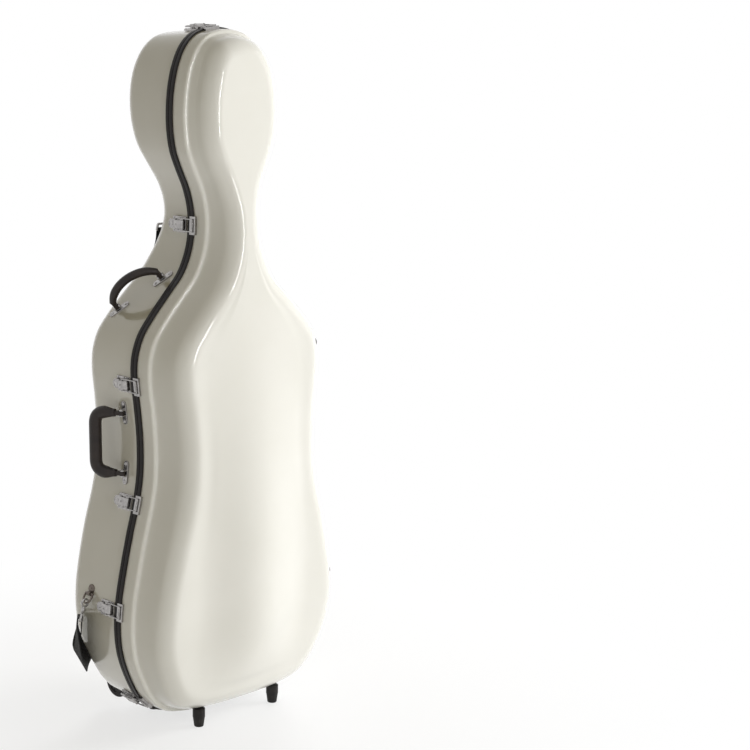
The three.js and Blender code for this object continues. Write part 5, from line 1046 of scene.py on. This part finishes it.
def handle(name, low, high, radius, end_share, lean, path_of):
    half = (high[0] - low[0]).length / 2
    frame = axis_frame(low, high, BRACKET_PIVOT)
    along, across = frame.col[0].to_3d(), frame.col[1].to_3d()
    leaned = frame @ turn_of(-lean if across.y > 0 else lean)
    path = path_of(half)
    travel = run_of(path)

    def section(i):
        near = min(travel[i], travel[-1] - travel[i])
        return circle(radius * (end_share + (1 - end_share) * float(smooth(near, 0, GRIP_TAPER))), 28)

    grip = Shape(leaned).add(swept(path, section, across=[Y_AXIS] * len(path)))
    grip.piece(f"{name}_grip_moulding", "grip", name, replaces=[f"{name}_grip"], sharp=60)
    tongues = Shape(leaned)
    around_pin = arc(0, 0, TONGUE_RADIUS, 180, 360, 14)
    tongue = [(-TONGUE_RADIUS, TONGUE_END), *around_pin, (TONGUE_RADIUS, TONGUE_END)]
    for x in (-half, half):
        tongues.add(prism(tongue, x - TONGUE_HALF, x + TONGUE_HALF, "x"))
    tongues.piece(f"{name}_grip_ends", "grip", name, bevel=0.8, replaces=[f"{name}_grip"])
    for level, (point, _, out), x in (("lower", low, -half), ("upper", high, half)):
        node = f"{name}_bracket_{level}"
        plate_frame = basis(point, along - out * along.dot(out), out)
        back = plate_frame.inverted() @ frame
        outline = rounded(-BRACKET_HALF, BRACKET_HALF, -BRACKET_WIDE, BRACKET_WIDE, BRACKET_WIDE - 0.1, 10)
        plate = Shape(plate_frame).add(prism(outline, -BRACKET_SINK, BRACKET_RISE, "y"))
        eye = [(-EYE_RADIUS, EYE_FOOT), (EYE_RADIUS, EYE_FOOT), *arc(0, 0, EYE_RADIUS, 0, 180, 14)]
        for start in (x - EYE_INSIDE - EYE_THICK, x + EYE_INSIDE):
            plate.add(prism(eye, start, start + EYE_THICK, "x"), back)
        plate.piece(f"{node}_plate", "metal", "base", bevel=0.7, replaces=[node])
        heads = Shape(plate_frame)
        for spot in (-BRACKET_SCREW_PLACE, BRACKET_SCREW_PLACE):
            heads.add(screw(3.6, 1.5), shift_of(spot, BRACKET_RISE - 0.1, 0))
        heads.add(rod("x", BRACKET_PIN_RADIUS, x - BRACKET_PIN_HALF, x + BRACKET_PIN_HALF, 0.5), back)
        heads.piece(f"{node}_screws", "metal", "base", replaces=[node])


def handle_walls(side, shares):
    return [wall_at(side, shares[end][0], shares[end][1] * BASE_DEPTH) for end in ("low", "high")]


handle("side_handle", *handle_walls(-1, SIDE_HANDLE_SHARES), SIDE_RADIUS, SIDE_END_SHARE,
       LEAN_SHARES["side"], bent_path)
for spot, side in (("left", -1), ("right", 1)):
    handle(f"shoulder_handle_{spot}", *handle_walls(side, SHOULDER_SHARES), SHOULDER_RADIUS,
           SHOULDER_END_SHARE, LEAN_SHARES["shoulder"], arch_path)

# Pull handle's moving loop and still hinge block
LOOP_BACK, LOOP_FRONT, TONGUE_LEFT, TONGUE_RIGHT = -11, -0.3, -40, 14
LOOP_EDGE, LOOP_FLANK, LOOP_CHAMFER_LOW, LOOP_CHAMFER_HIGH, LOOP_ROUND = 55, 41.5, -109, -95.5, 4
OPENING_HALF, OPENING_LOW, OPENING_HIGH = 46.5, -91, -52
TONGUE_TOP, BLOCK_BACK, BLOCK_FRONT, KNUCKLE_BACK, KNUCKLE_FRONT = -6.4, -16.7, -6.1, -12, -0.9
FINGER_RIBS, FINGER_START, FINGER_PITCH, FINGER_RADIUS, FINGER_HALF = 6, -107.6, 2.9, 0.9, 40


def pull_handle():
    right = [*arc(LOOP_FLANK, LOOP_CHAMFER_LOW, LOOP_ROUND, -90, -45, 4),
             *arc(LOOP_EDGE, LOOP_CHAMFER_HIGH, LOOP_ROUND, -45, 0, 3),
             *arc(PULL_LOOP_HALF - PULL_CORNER, -PULL_LOOP_DROP - PULL_CORNER, PULL_CORNER, 0, 90, 8)]
    outer = right + [(-x, z) for x, z in right[::-1]]
    opening = rounded(-OPENING_HALF, OPENING_HALF, OPENING_LOW, OPENING_HIGH, 4.5, 8)
    loop = Shape(PULL_FRAME).add(hollowed(outer, opening, LOOP_BACK, LOOP_FRONT))
    loop.add(block(TONGUE_LEFT, TONGUE_RIGHT, LOOP_BACK, LOOP_FRONT, OPENING_HIGH - 1, TONGUE_TOP))
    left, right_end, top, round_end = PULL_BLOCK_LEFT, PULL_BLOCK_RIGHT, PULL_BLOCK_ABOVE, PULL_KNUCKLE
    width = (right_end - left) / PULL_KNUCKLES
    swinging = [(-round_end, LOOP_BACK), (0, LOOP_BACK), *arc(0, 0, round_end, 0, 180, 12)]
    still = [(KNUCKLE_BACK, -round_end), *arc(0, 0, round_end, -90, 90, 12), (KNUCKLE_BACK, round_end)]
    housing = Shape(PULL_FRAME)
    housing.add(block(left, right_end, BLOCK_BACK, BLOCK_FRONT, -round_end, top))
    for i in range(PULL_KNUCKLES):
        start = left + i * width + GAP
        end = start + width - 2 * GAP
        if i % 2:
            loop.add(prism(swinging, start, end, "x"))
        else:
            housing.add(prism(still, start, end, "x"))
            housing.add(block(start, end, KNUCKLE_BACK, KNUCKLE_FRONT, 0, top))
    loop.piece("pull_handle_loop_moulding", "plastic", "pull_handle_loop", bevel=1.3,
               replaces=["pull_handle"])
    housing.piece("pull_handle_block_moulding", "plastic", "base", bevel=0.9,
                  replaces=["pull_handle_hinge_block"])
    ribs = Shape(PULL_FRAME)
    for i in range(FINGER_RIBS):
        at = FINGER_START + i * FINGER_PITCH
        ribs.add(prism(arc(-0.5, at, FINGER_RADIUS, -90, 90, 6), -FINGER_HALF, FINGER_HALF, "x"))
    ribs.piece("pull_handle_finger_ribs", "plastic", "pull_handle_loop", replaces=["pull_handle"])


pull_handle()

# Wheels: radii and places along the axle of the tyre, the hub and its spokes
TYRE_ROUND, TYRE_SEAT, TYRE_LIP, BEAD = 4, 21, 26.4, 0.6
GROOVE_DEPTH, GROOVE_INNER, GROOVE_OUTER, GROOVE_EDGE = 0.6, 3.3, 3.9, 0.3
HUB_BORE, HUB_RADIUS, HUB_PROUD, DISH, RIM_RADIUS = 4.3, 12, 0.8, 3, 21.2
SPOKES, SPOKE_START, SPOKE_END, SPOKE_HALF, SPOKE_THICK = 6, 11, 21.4, 1.3, 2


def both_ways(profile):
    """A profile followed by its mirror image along the axle."""
    return [*profile, *[(r, -at) for r, at in profile[::-1]]]


def wheels():
    half, tip = WHEEL_HALF, WHEEL_RADIUS - TYRE_ROUND
    tread = [(TYRE_SEAT, half - BEAD), (TYRE_SEAT + BEAD, half), (TYRE_LIP, half)]
    tread += [(tip + TYRE_ROUND * math.sin(a), half - TYRE_ROUND + TYRE_ROUND * math.cos(a))
              for a in np.linspace(0.15, math.pi / 2, 7)]
    deep = WHEEL_RADIUS - GROOVE_DEPTH
    tread += [(WHEEL_RADIUS, GROOVE_OUTER + GROOVE_EDGE), (deep, GROOVE_OUTER), (deep, GROOVE_INNER),
              (WHEEL_RADIUS, GROOVE_INNER - GROOVE_EDGE)]
    face = [(HUB_BORE, half + HUB_PROUD), (HUB_RADIUS - 0.6, half + HUB_PROUD), (HUB_RADIUS, half + 0.2),
            (HUB_RADIUS, half - DISH + 0.6), (HUB_RADIUS + 0.6, half - DISH), (RIM_RADIUS - 0.8, half - DISH),
            (RIM_RADIUS, half - DISH + 0.6), (RIM_RADIUS, half - 0.4), (RIM_RADIUS + 0.4, half - 0.4),
            (RIM_RADIUS + 0.4, 0)]
    for name, side in (("left", -1), ("right", 1)):
        at, wheel = shift_of(side * WHEEL_PLACE, WHEEL_DEPTH, WHEEL_HEIGHT), f"wheel_{name}"
        tyre = Shape(at).add(turned(both_ways(tread), 72, "x", loop=True))
        tyre.piece(f"wheel_tyre_{name}", "rubber", wheel, replaces=[wheel], sharp=40)
        hub = Shape(at).add(turned(both_ways(face), 56, "x", loop=True))
        outside, inside = half - DISH - 0.2, half - DISH - 0.2 + SPOKE_THICK
        for k in range(SPOKES):
            for low, high in ((outside, inside), (-inside, -outside)):
                spoke = block(low, high, SPOKE_START, SPOKE_END, -SPOKE_HALF, SPOKE_HALF)
                hub.add(spoke, turn_of(4 * k / SPOKES))
        hub.piece(f"wheel_hub_{name}", "hub", wheel, replaces=[wheel], sharp=40)
        housing = NODES[f"wheel_housing_{name}"]
        housing.data.materials.clear()
        housing.data.materials.append(MAT["plastic"])
        soften(housing, 1.1, 3, weld=True)


wheels()

# Rubber pegs, feet and bumpers
PEG_RISE, BUMPER_RISE, FOOT_LENGTH, PEG_SINK = 16, 15, 20, 16
PEG_FOOT, PEG_WAIST, PEG_TIP, PEG_ROUND = 12.2, 11.7, 9.5, 2
PEG_HOLE, PEG_HOLE_DEPTH = 3.6, 4
# The screw in a peg's hole: radii and how far below the peg's tip each is
PEG_SCREW = [(3.5, 4.2), (3.5, 3.2), (2.6, 2.7), (0.9, 2.6), (0.5, 3.2), (AXIS_GAP, 3.2)]


def peg(name, rise, at, direction):
    frame = shift_of(*at) @ Z_AXIS.rotation_difference(direction).to_matrix().to_4x4()
    edge = [(PEG_TIP - PEG_ROUND * (1 - math.sin(a)), rise - PEG_ROUND * (1 - math.cos(a)))
            for a in np.linspace(math.pi / 2, 0, 6)]
    floor = rise - PEG_HOLE_DEPTH
    profile = [(PEG_FOOT, -PEG_SINK), (PEG_FOOT, 1.0), (PEG_WAIST, 1.8), *edge, (PEG_HOLE + 0.6, rise),
               (PEG_HOLE + 0.1, rise - 0.5), (PEG_HOLE, floor), (AXIS_GAP, floor)]
    rubber = Shape(frame).add(turned(profile, 40))
    rubber.piece(f"{name}_rubber", "rubber", BODY_OF[name], replaces=[name])
    head = Shape(frame).add(turned([(radius, rise - below) for radius, below in PEG_SCREW], 24))
    head.piece(f"{name}_screw", "metal", BODY_OF[name], replaces=[name])


for name, side in (("left", -1), ("right", 1)):
    for level, (across, up) in PEG_SHARES.items():
        z = up * CASE_HEIGHT
        peg(f"back_peg_{level}_{name}", PEG_RISE, (side * across * HALF_WIDTH, cad_base_depth(z), z), Y_AXIS)
    x = side * FOOT_SHARES["place"] * HALF_WIDTH
    peg(f"base_foot_{name}", FOOT_LENGTH, (x, FOOT_SHARES["base"] * BASE_DEPTH, FOOT_LENGTH), -Z_AXIS)
    peg(f"lid_foot_{name}", FOOT_LENGTH, (x, -FOOT_SHARES["lid"] * LID_DEPTH, FOOT_LENGTH), -Z_AXIS)
for level, (base_share, lid_share) in BUMPER_SHARES.items():
    point, out, _ = wall_at(1, base_share, BUMPER_DEPTH_SHARES["base"] * BASE_DEPTH)
    peg(f"base_bumper_{level}", BUMPER_RISE, point, out)
    point, out, _ = wall_at(1, lid_share)
    point = point - out * (LID_STEP + LID_STEP_ROUND + LID_STRIP_DRAFT)
    point.y = -BUMPER_DEPTH_SHARES["lid"] * LID_DEPTH
    peg(f"lid_bumper_{level}", BUMPER_RISE, point, out)

# Ring plates, D rings and snap hooks: x along a ring's pivot, y out of the wall
RING_WIRE, RING_HALF, RING_DROP, RING_STRAIGHT = 2, 11, 22, 9
RING_LUG, RING_SEAT, DISC_RADIUS = 4.4, 1.2, 9
LUG_HALF, LUG_BACK, LUG_FRONT, LUG_LOW, LUG_HIGH = 4.2, -1.5, 3, 1.95, 5
HOOK_EYE, HOOK_WIRE, HOOK_END, HOOK_START, HOOK_HALF = 7.4, 2, 34, 17, 30
HOOK_BAR, HOOK_THICK = 3.5, 4.4
STRAP_HALF, STRAP_THICK = 25, 2
# Half sections turned about an axis: each a radius and a place along it
DISC = [(9, -1.5), (9, 1.1), (8.2, 1.9), (5, 2.1), (AXIS_GAP, 2.1)]
LUG = [(2.5, -4.4), (2.5, 4.4), (4.2, 4.4), (4.4, 4.1), (4.4, -4.1), (4.2, -4.4)]
STEM = [(2, -6.4), (2.6, -7.6), (3, -9), (3, -10.4), (4.2, -10.5), (4.6, -10.9), (4.6, -13.6), (4.2, -14),
        (3, -14.1), (3, -18.6)]
GATE = [(5.2, -4), (6.4, -4.6), (10.2, -1.4), (10.4, 1.6), (9.3, 1.8), (8.8, -0.6)]


def ring_frame(point, out):
    return basis(point, out.cross(Z_AXIS), out)


def hook_frame(ring, towards, across):
    """Frame of a hook whose eye is on a ring's lowest wire and whose bar points at a place."""
    eye = ring @ RING_LEAN @ Vector((0, 0, RING_WIRE - RING_DROP))
    z = (eye - strap_place(towards)).normalized()
    x = (Vector(across) - z * z.dot(Vector(across))).normalized()
    return basis(eye, x, z.cross(x))


neck_height = RING_SHARES["neck"] * CASE_HEIGHT
neck_point = Vector((0, cad_base_depth(neck_height) + BASE_CROWN + RING_SEAT, neck_height))
side_point, _, side_out = wall_at(-1, RING_SHARES["side"][0], RING_SHARES["side"][1] * BASE_DEPTH)
RINGS = {"neck": ring_frame(neck_point, Y_AXIS), "side": ring_frame(side_point, side_out)}
RING_LEAN = shift_of(0, RING_LUG + GAP, 0) @ turn_of(LEAN_SHARES["ring"])
HOOKS = {"upper": hook_frame(RINGS["neck"], UPPER_HOOK_SHARES, FLAT_ACROSS),
         "lower": hook_frame(RINGS["side"], LOWER_HOOK_SHARES, HOOK_ACROSS)}


def d_ring(name, frame):
    metal, plate_look = ("metal", "plastic") if name == "neck" else ("bronze", "bronze")
    plate = Shape(frame).add(turned(DISC, 40, "y"), shift_of(0, 0, DISC_RADIUS))
    plate.add(screw(2.6, 1.2), shift_of(0, 2, 11))
    plate.add(turned(LUG, 28, "x", loop=True), shift_of(0, RING_LUG + GAP, 0))
    plate.add(block(-LUG_HALF, LUG_HALF, LUG_BACK, LUG_FRONT, LUG_LOW, LUG_HIGH))
    plate.piece(f"{name}_ring_plate", plate_look, "base")
    half, straight = RING_HALF, RING_STRAIGHT
    path = [(half, 0, -straight * i / 3) for i in range(3)]
    path += [(half * math.cos(a), 0, -straight - half * math.sin(a)) for a in np.linspace(0, math.pi, 25)]
    path += [(-half, 0, -straight * (1 - i / 3)) for i in range(1, 4)]
    path += [(half * (i / 3 - 1), 0, 0) for i in range(1, 6)]
    wire = swept(path, circle(RING_WIRE, 18), loop=True, across=[Y_AXIS] * len(path))
    ring = Shape(frame @ RING_LEAN).add(wire)
    ring.piece(f"{name}_d_ring_wire", metal, f"{name}_d_ring", replaces=[f"{name}_ring"])


def snap_hook(name, frame):
    node = f"{name}_snap_hook"
    swivel = turn_of(0 if name == "upper" else LEAN_SHARES["hook"], "Z")
    eye = [(0, a, b) for a, b in circle(HOOK_EYE, 40)]
    hook = Shape(frame).add(swept(eye, circle(HOOK_WIRE, 16), loop=True, across=[(1, 0, 0)] * 40), swivel)
    hook.add(turned(STEM, 28))
    hook.piece(f"{node}_eye", "metal", BODY_OF[node], replaces=[node])
    gate = Shape(frame @ swivel).add(prism(GATE, -1.5, 1.5, "x"))
    gate.piece(f"{node}_gate", "metal", BODY_OF[node], bevel=0.3, replaces=[node])
    inside = HOOK_HALF - HOOK_BAR
    outer = rounded(-HOOK_HALF, HOOK_HALF, -HOOK_END, -HOOK_START, HOOK_BAR)
    inner = rounded(-inside, inside, HOOK_BAR - HOOK_END, -HOOK_START - HOOK_BAR, HOOK_BAR / 2)
    bars = Shape(frame).add(hollowed(outer, inner, -HOOK_THICK / 2, HOOK_THICK / 2))
    bars.piece(f"{node}_frame", "metal", BODY_OF[node], bevel=1.1, segments=4, replaces=[node])


for name, ring in RINGS.items():
    d_ring(name, ring)
for name, hook in HOOKS.items():
    snap_hook(name, hook)


# Strap, shoulder pad and slider
BAR_TURN = (200, 160, 120, 60, 20, -20)


def around_bar(frame):
    """The webbing's turn around a hook's bar, in degrees: places with the direction across it."""
    bar = HOOK_BAR / 2 - HOOK_END
    radius = math.hypot(HOOK_THICK, HOOK_BAR) / 2 + STRAP_THICK / 2 + 3 * GAP
    across = tuple(frame.col[0].to_3d())
    turns = [(radius * math.cos(a), radius * math.sin(a)) for a in map(math.radians, BAR_TURN)]
    return [(frame @ Vector((0, y, bar + z)), across) for y, z in turns]


def strap():
    """The webbing, with a map of metres across and along it for its weave."""
    tails = [[(strap_place(shares), across) for shares, across in part]
             for part in (UPPER_TAIL_SHARES, STRAP_SHARES, LOWER_TAIL_SHARES)]
    route = [*tails[0], *around_bar(HOOKS["upper"]), *tails[1], *around_bar(HOOKS["lower"])[::-1], *tails[2]]
    way = smooth_path([(*point, *across) for point, across in route], 12)
    middle, across = [Vector(p[:3]) for p in way], [Vector(p[3:]) for p in way]
    section = rounded(-STRAP_HALF, STRAP_HALF, -STRAP_THICK / 2, STRAP_THICK / 2, 0.85, 3)
    points, faces = swept(middle, section, across=across)
    travel = run_of(middle) * MM
    uv = [(u * MM, along) for along in travel for u, v in section]
    mesh_piece("strap_webbing_ribbon", points, faces, "webbing", "base", replaces=["strap_webbing"],
               uv=uv, sharp=60)


strap()

PAD_HALF, PAD_EDGE_THICK, PAD_CROWN, PAD_EDGE, PAD_CORNER = 31, 8, 3, 1.2, 2.4
PAD_START_SHARE, PAD_ROUND_SHARE, PAD_CROWN_SHARE = 0.03, 0.03, 0.12
SLOT_HALF, SLOT_THICK, WINDOW_DEPTH = 27, 5, 12
PAD_STATION_SHARES = [0.03, 0.034, 0.045, 0.065, *np.linspace(0.09, 0.91, 34), 0.935, 0.955, 0.966, 0.97]
WINDOW_SHARES = (0.17, 0.33, 0.49, 0.51, 0.67, 0.83)
PAD_RIB_SHARES = (0.06, 0.11, 0.89, 0.94)
PAD_RIB_RADIUS, PAD_RIB_HALF = 1.1, 22
pad_turns = [strap_frame(PAD_SHARES[i], PAD_SHARES[i + 1], FLAT_ACROSS).to_quaternion() for i in (0, 1)]


def pad_frame(share):
    """A place along the pad, bent at its middle; y points away from the case."""
    first, second = (strap_place(shares) for shares in (PAD_SHARES[:2] if share < 0.5 else PAD_SHARES[1:]))
    part = share * 2 if share < 0.5 else share * 2 - 1
    turn = pad_turns[0].slerp(pad_turns[1], float(smooth(share, 0.4, 0.6)))
    return Matrix.Translation(first.lerp(second, part)) @ turn.to_matrix().to_4x4()


def pad_thickness(share):
    inwards = min(share, 1 - share) - PAD_START_SHARE
    return PAD_EDGE_THICK + PAD_CROWN * float(smooth(inwards, 0, PAD_CROWN_SHARE))


def shoulder_pad():
    outer, inner = [], []
    for share in PAD_STATION_SHARES:
        ends = min((min(share, 1 - share) - PAD_START_SHARE) / PAD_ROUND_SHARE, 1)
        grown = PAD_EDGE * (1 - (1 - ends) ** 2)
        a, b = PAD_HALF - PAD_EDGE + grown, pad_thickness(share) / 2 - PAD_EDGE + grown
        frame = pad_frame(share)
        slot = rounded(-SLOT_HALF, SLOT_HALF, -SLOT_THICK / 2, SLOT_THICK / 2, 0.6, 5)
        outer.append([frame @ Vector((x, y, 0)) for x, y in rounded(-a, a, -b, b, PAD_CORNER, 5)])
        inner.append([frame @ Vector((x, y, 0)) for x, y in slot])
    pad = lofted("shoulder_pad_moulding", [*outer, *inner[::-1]], "rubber", "base", loop=True, cap=False,
                 replaces=["shoulder_pad"], sharp=45)
    half, deep = SLOT_HALF, WINDOW_DEPTH
    corners = ((-half, 0, 0), (half, 0, 0), (half, deep, 0), (-half, deep, 0))
    window = [pad_frame(share) @ Vector(corner) for share in WINDOW_SHARES for corner in corners]
    cut_out(pad, [cutter(window, ring_faces(len(corners), len(WINDOW_SHARES), cap=True))])
    soften(pad, 0.7)
    for index, share in enumerate(PAD_RIB_SHARES):
        bead = prism(arc(0, 0, PAD_RIB_RADIUS, -20, 200, 8), -PAD_RIB_HALF, PAD_RIB_HALF, "x")
        rib = Shape(pad_frame(share)).add(bead, shift_of(0, pad_thickness(share) / 2 - 0.3, 0))
        rib.piece(f"shoulder_pad_rib_{index}", "rubber", "base", replaces=["shoulder_pad"])


shoulder_pad()

SLIDER_HALF, SLIDER_INSIDE, SLIDER_LONG, SLIDER_NEAR, SLIDER_FAR, SLIDER_BAR = 30, 26.2, 12, 2.2, 5.6, 3
slider = Shape(strap_frame(*SLIDER_SHARES, SLIDER_ACROSS))
for x0, x1 in ((-SLIDER_HALF, -SLIDER_INSIDE), (SLIDER_INSIDE, SLIDER_HALF)):
    slider.add(block(x0, x1, -SLIDER_FAR, SLIDER_FAR, -SLIDER_LONG, SLIDER_LONG))
for z in (-SLIDER_LONG, SLIDER_LONG - SLIDER_BAR):
    slider.add(block(-SLIDER_HALF, SLIDER_HALF, -SLIDER_FAR, -SLIDER_NEAR, z, z + SLIDER_BAR))
slider.add(block(-SLIDER_HALF, SLIDER_HALF, SLIDER_NEAR, SLIDER_FAR, -SLIDER_BAR / 2, SLIDER_BAR / 2))
slider.piece("strap_slider_frame", "metal", "base", bevel=1.1, segments=4, replaces=["strap_slider"])

# Floor, light and camera
AIR, AIR_COLOR, WHITE = 0.165, (1.0, 0.86, 0.5, 1), (1, 1, 1, 1)
FLOOR_REACH, FLOOR_STEPS = 9.0, 12
SHADOW_NEAR, SHADOW_FAR, FLOOR_GLOW = 0.2, 1.1, 0.7


def seen_white(n):
    """1 where the camera looks, or a surface mirrors or lets through; these see white."""
    path = n.add("LightPath").outputs
    mirrored_too = n.math("MAXIMUM", path["Is Camera Ray"], path["Is Glossy Ray"])
    return n.math("MAXIMUM", mirrored_too, path["Is Transmission Ray"])


def studio():
    marks, row = np.linspace(-FLOOR_REACH, FLOOR_REACH, FLOOR_STEPS + 1), FLOOR_STEPS + 1
    starts = [j * row + i for j in range(FLOOR_STEPS) for i in range(FLOOR_STEPS)]
    data = bpy.data.meshes.new("studio_floor")
    tiles = [(k, k + 1, k + row + 1, k + row) for k in starts]
    data.from_pydata([(x, y, 0) for y in marks for x in marks], [], tiles)
    floor = object_of("studio_floor", data)
    n = Nodes(bpy.data.materials.new("studio_floor"))
    place_now = n.add("TexCoord").outputs["Object"]
    away = n.add("VectorMath", {0: place_now}, operation="LENGTH").outputs["Value"]
    fine = n.noise(place_now, 60)
    grays = {"Fac": fine, "Color1": rgba((0.86, 0.86, 0.86)), "Color2": rgba((0.88, 0.88, 0.88))}
    tint = n.add("MixRGB", grays).outputs[0]
    shaded = n.add("BsdfPrincipled", {"Base Color": tint, "Roughness": n.spread(fine, 0.55, 0.65)}).outputs[0]
    glow = n.add("Emission", {"Color": WHITE, "Strength": 1.0}).outputs[0]
    limits = {"From Min": SHADOW_NEAR, "From Max": SHADOW_FAR, "To Min": FLOOR_GLOW, "To Max": 1}
    far = n.add("MapRange", {"Value": away, **limits}, interpolation_type="SMOOTHSTEP").outputs[0]
    share = n.math("MULTIPLY", far, seen_white(n))
    data.materials.append(n.surface(n.add("MixShader", {0: share, 1: shaded, 2: glow})))

    world = bpy.data.worlds.new("studio_air")
    bpy.context.scene.world = world
    n = Nodes(world, "OutputWorld")
    air = n.add("Background", {"Color": AIR_COLOR, "Strength": AIR}).outputs[0]
    white = n.add("Background", {"Color": WHITE, "Strength": 1.0}).outputs[0]
    n.surface(n.add("MixShader", {0: seen_white(n), 1: air, 2: white}))


def lamp(name, azimuth, distance, height, aim, wide, tall, power, color):
    """An area lamp; its azimuth is in degrees to the right of the case's front."""
    angle = math.radians(azimuth)
    data = bpy.data.lights.new(name, "AREA")
    data.shape = "RECTANGLE"
    data.size, data.size_y = wide, tall
    data.energy = power
    data.color = color
    made = object_of(name, data)
    made.location = (distance * math.sin(angle), -distance * math.cos(angle), height)
    made.rotation_euler = (Vector((0, 0, aim)) - made.location).to_track_quat("-Z", "Y").to_euler()
    return made


# Soft lamps light the surfaces and aren't mirrored; the strip is only mirrored
COOL = (0.98, 0.99, 1.0)
studio()
for lamp_name, azimuth, distance, height, wide, tall, power, color in (
        ("key_light", 64, 4, 1.9, 1.8, 2.2, 148, COOL), ("front_fill", -10, 4, 1.6, 2.0, 2.0, 46, COOL),
        ("back_light", 121, 4, 1.8, 1.6, 2.2, 165, (0.97, 0.98, 1.0))):
    lamp(lamp_name, azimuth, distance, height, 0.7, wide, tall, power, color).visible_glossy = False
lamp("strip_light", 14, 3.6, 1.3, 0.9, 0.2, 1.7, 22, COOL).visible_diffuse = False

# The photo's left view: picture size, focal length and centre in pixels, place and direction
PICTURE, FOCAL, CENTRE_X, CENTRE_Y = 750, 1986.9, 212.9, 369.6
CAMERA_AT, CAMERA_LOOKS = (-2584, -2796, 1398), (0.6672, 0.7219, -0.1838)
lens = bpy.data.cameras.new("photo_camera")
lens.sensor_width = 36
lens.lens = FOCAL / PICTURE * lens.sensor_width
lens.shift_x, lens.shift_y = 0.5 - CENTRE_X / PICTURE, CENTRE_Y / PICTURE - 0.5
camera = object_of("photo_camera", lens)
camera.location = place(CAMERA_AT)
camera.rotation_euler = Vector(CAMERA_LOOKS).to_track_quat("-Z", "Y").to_euler()
bpy.context.scene.camera = camera
bpy.context.scene.view_settings.view_transform = "Standard"
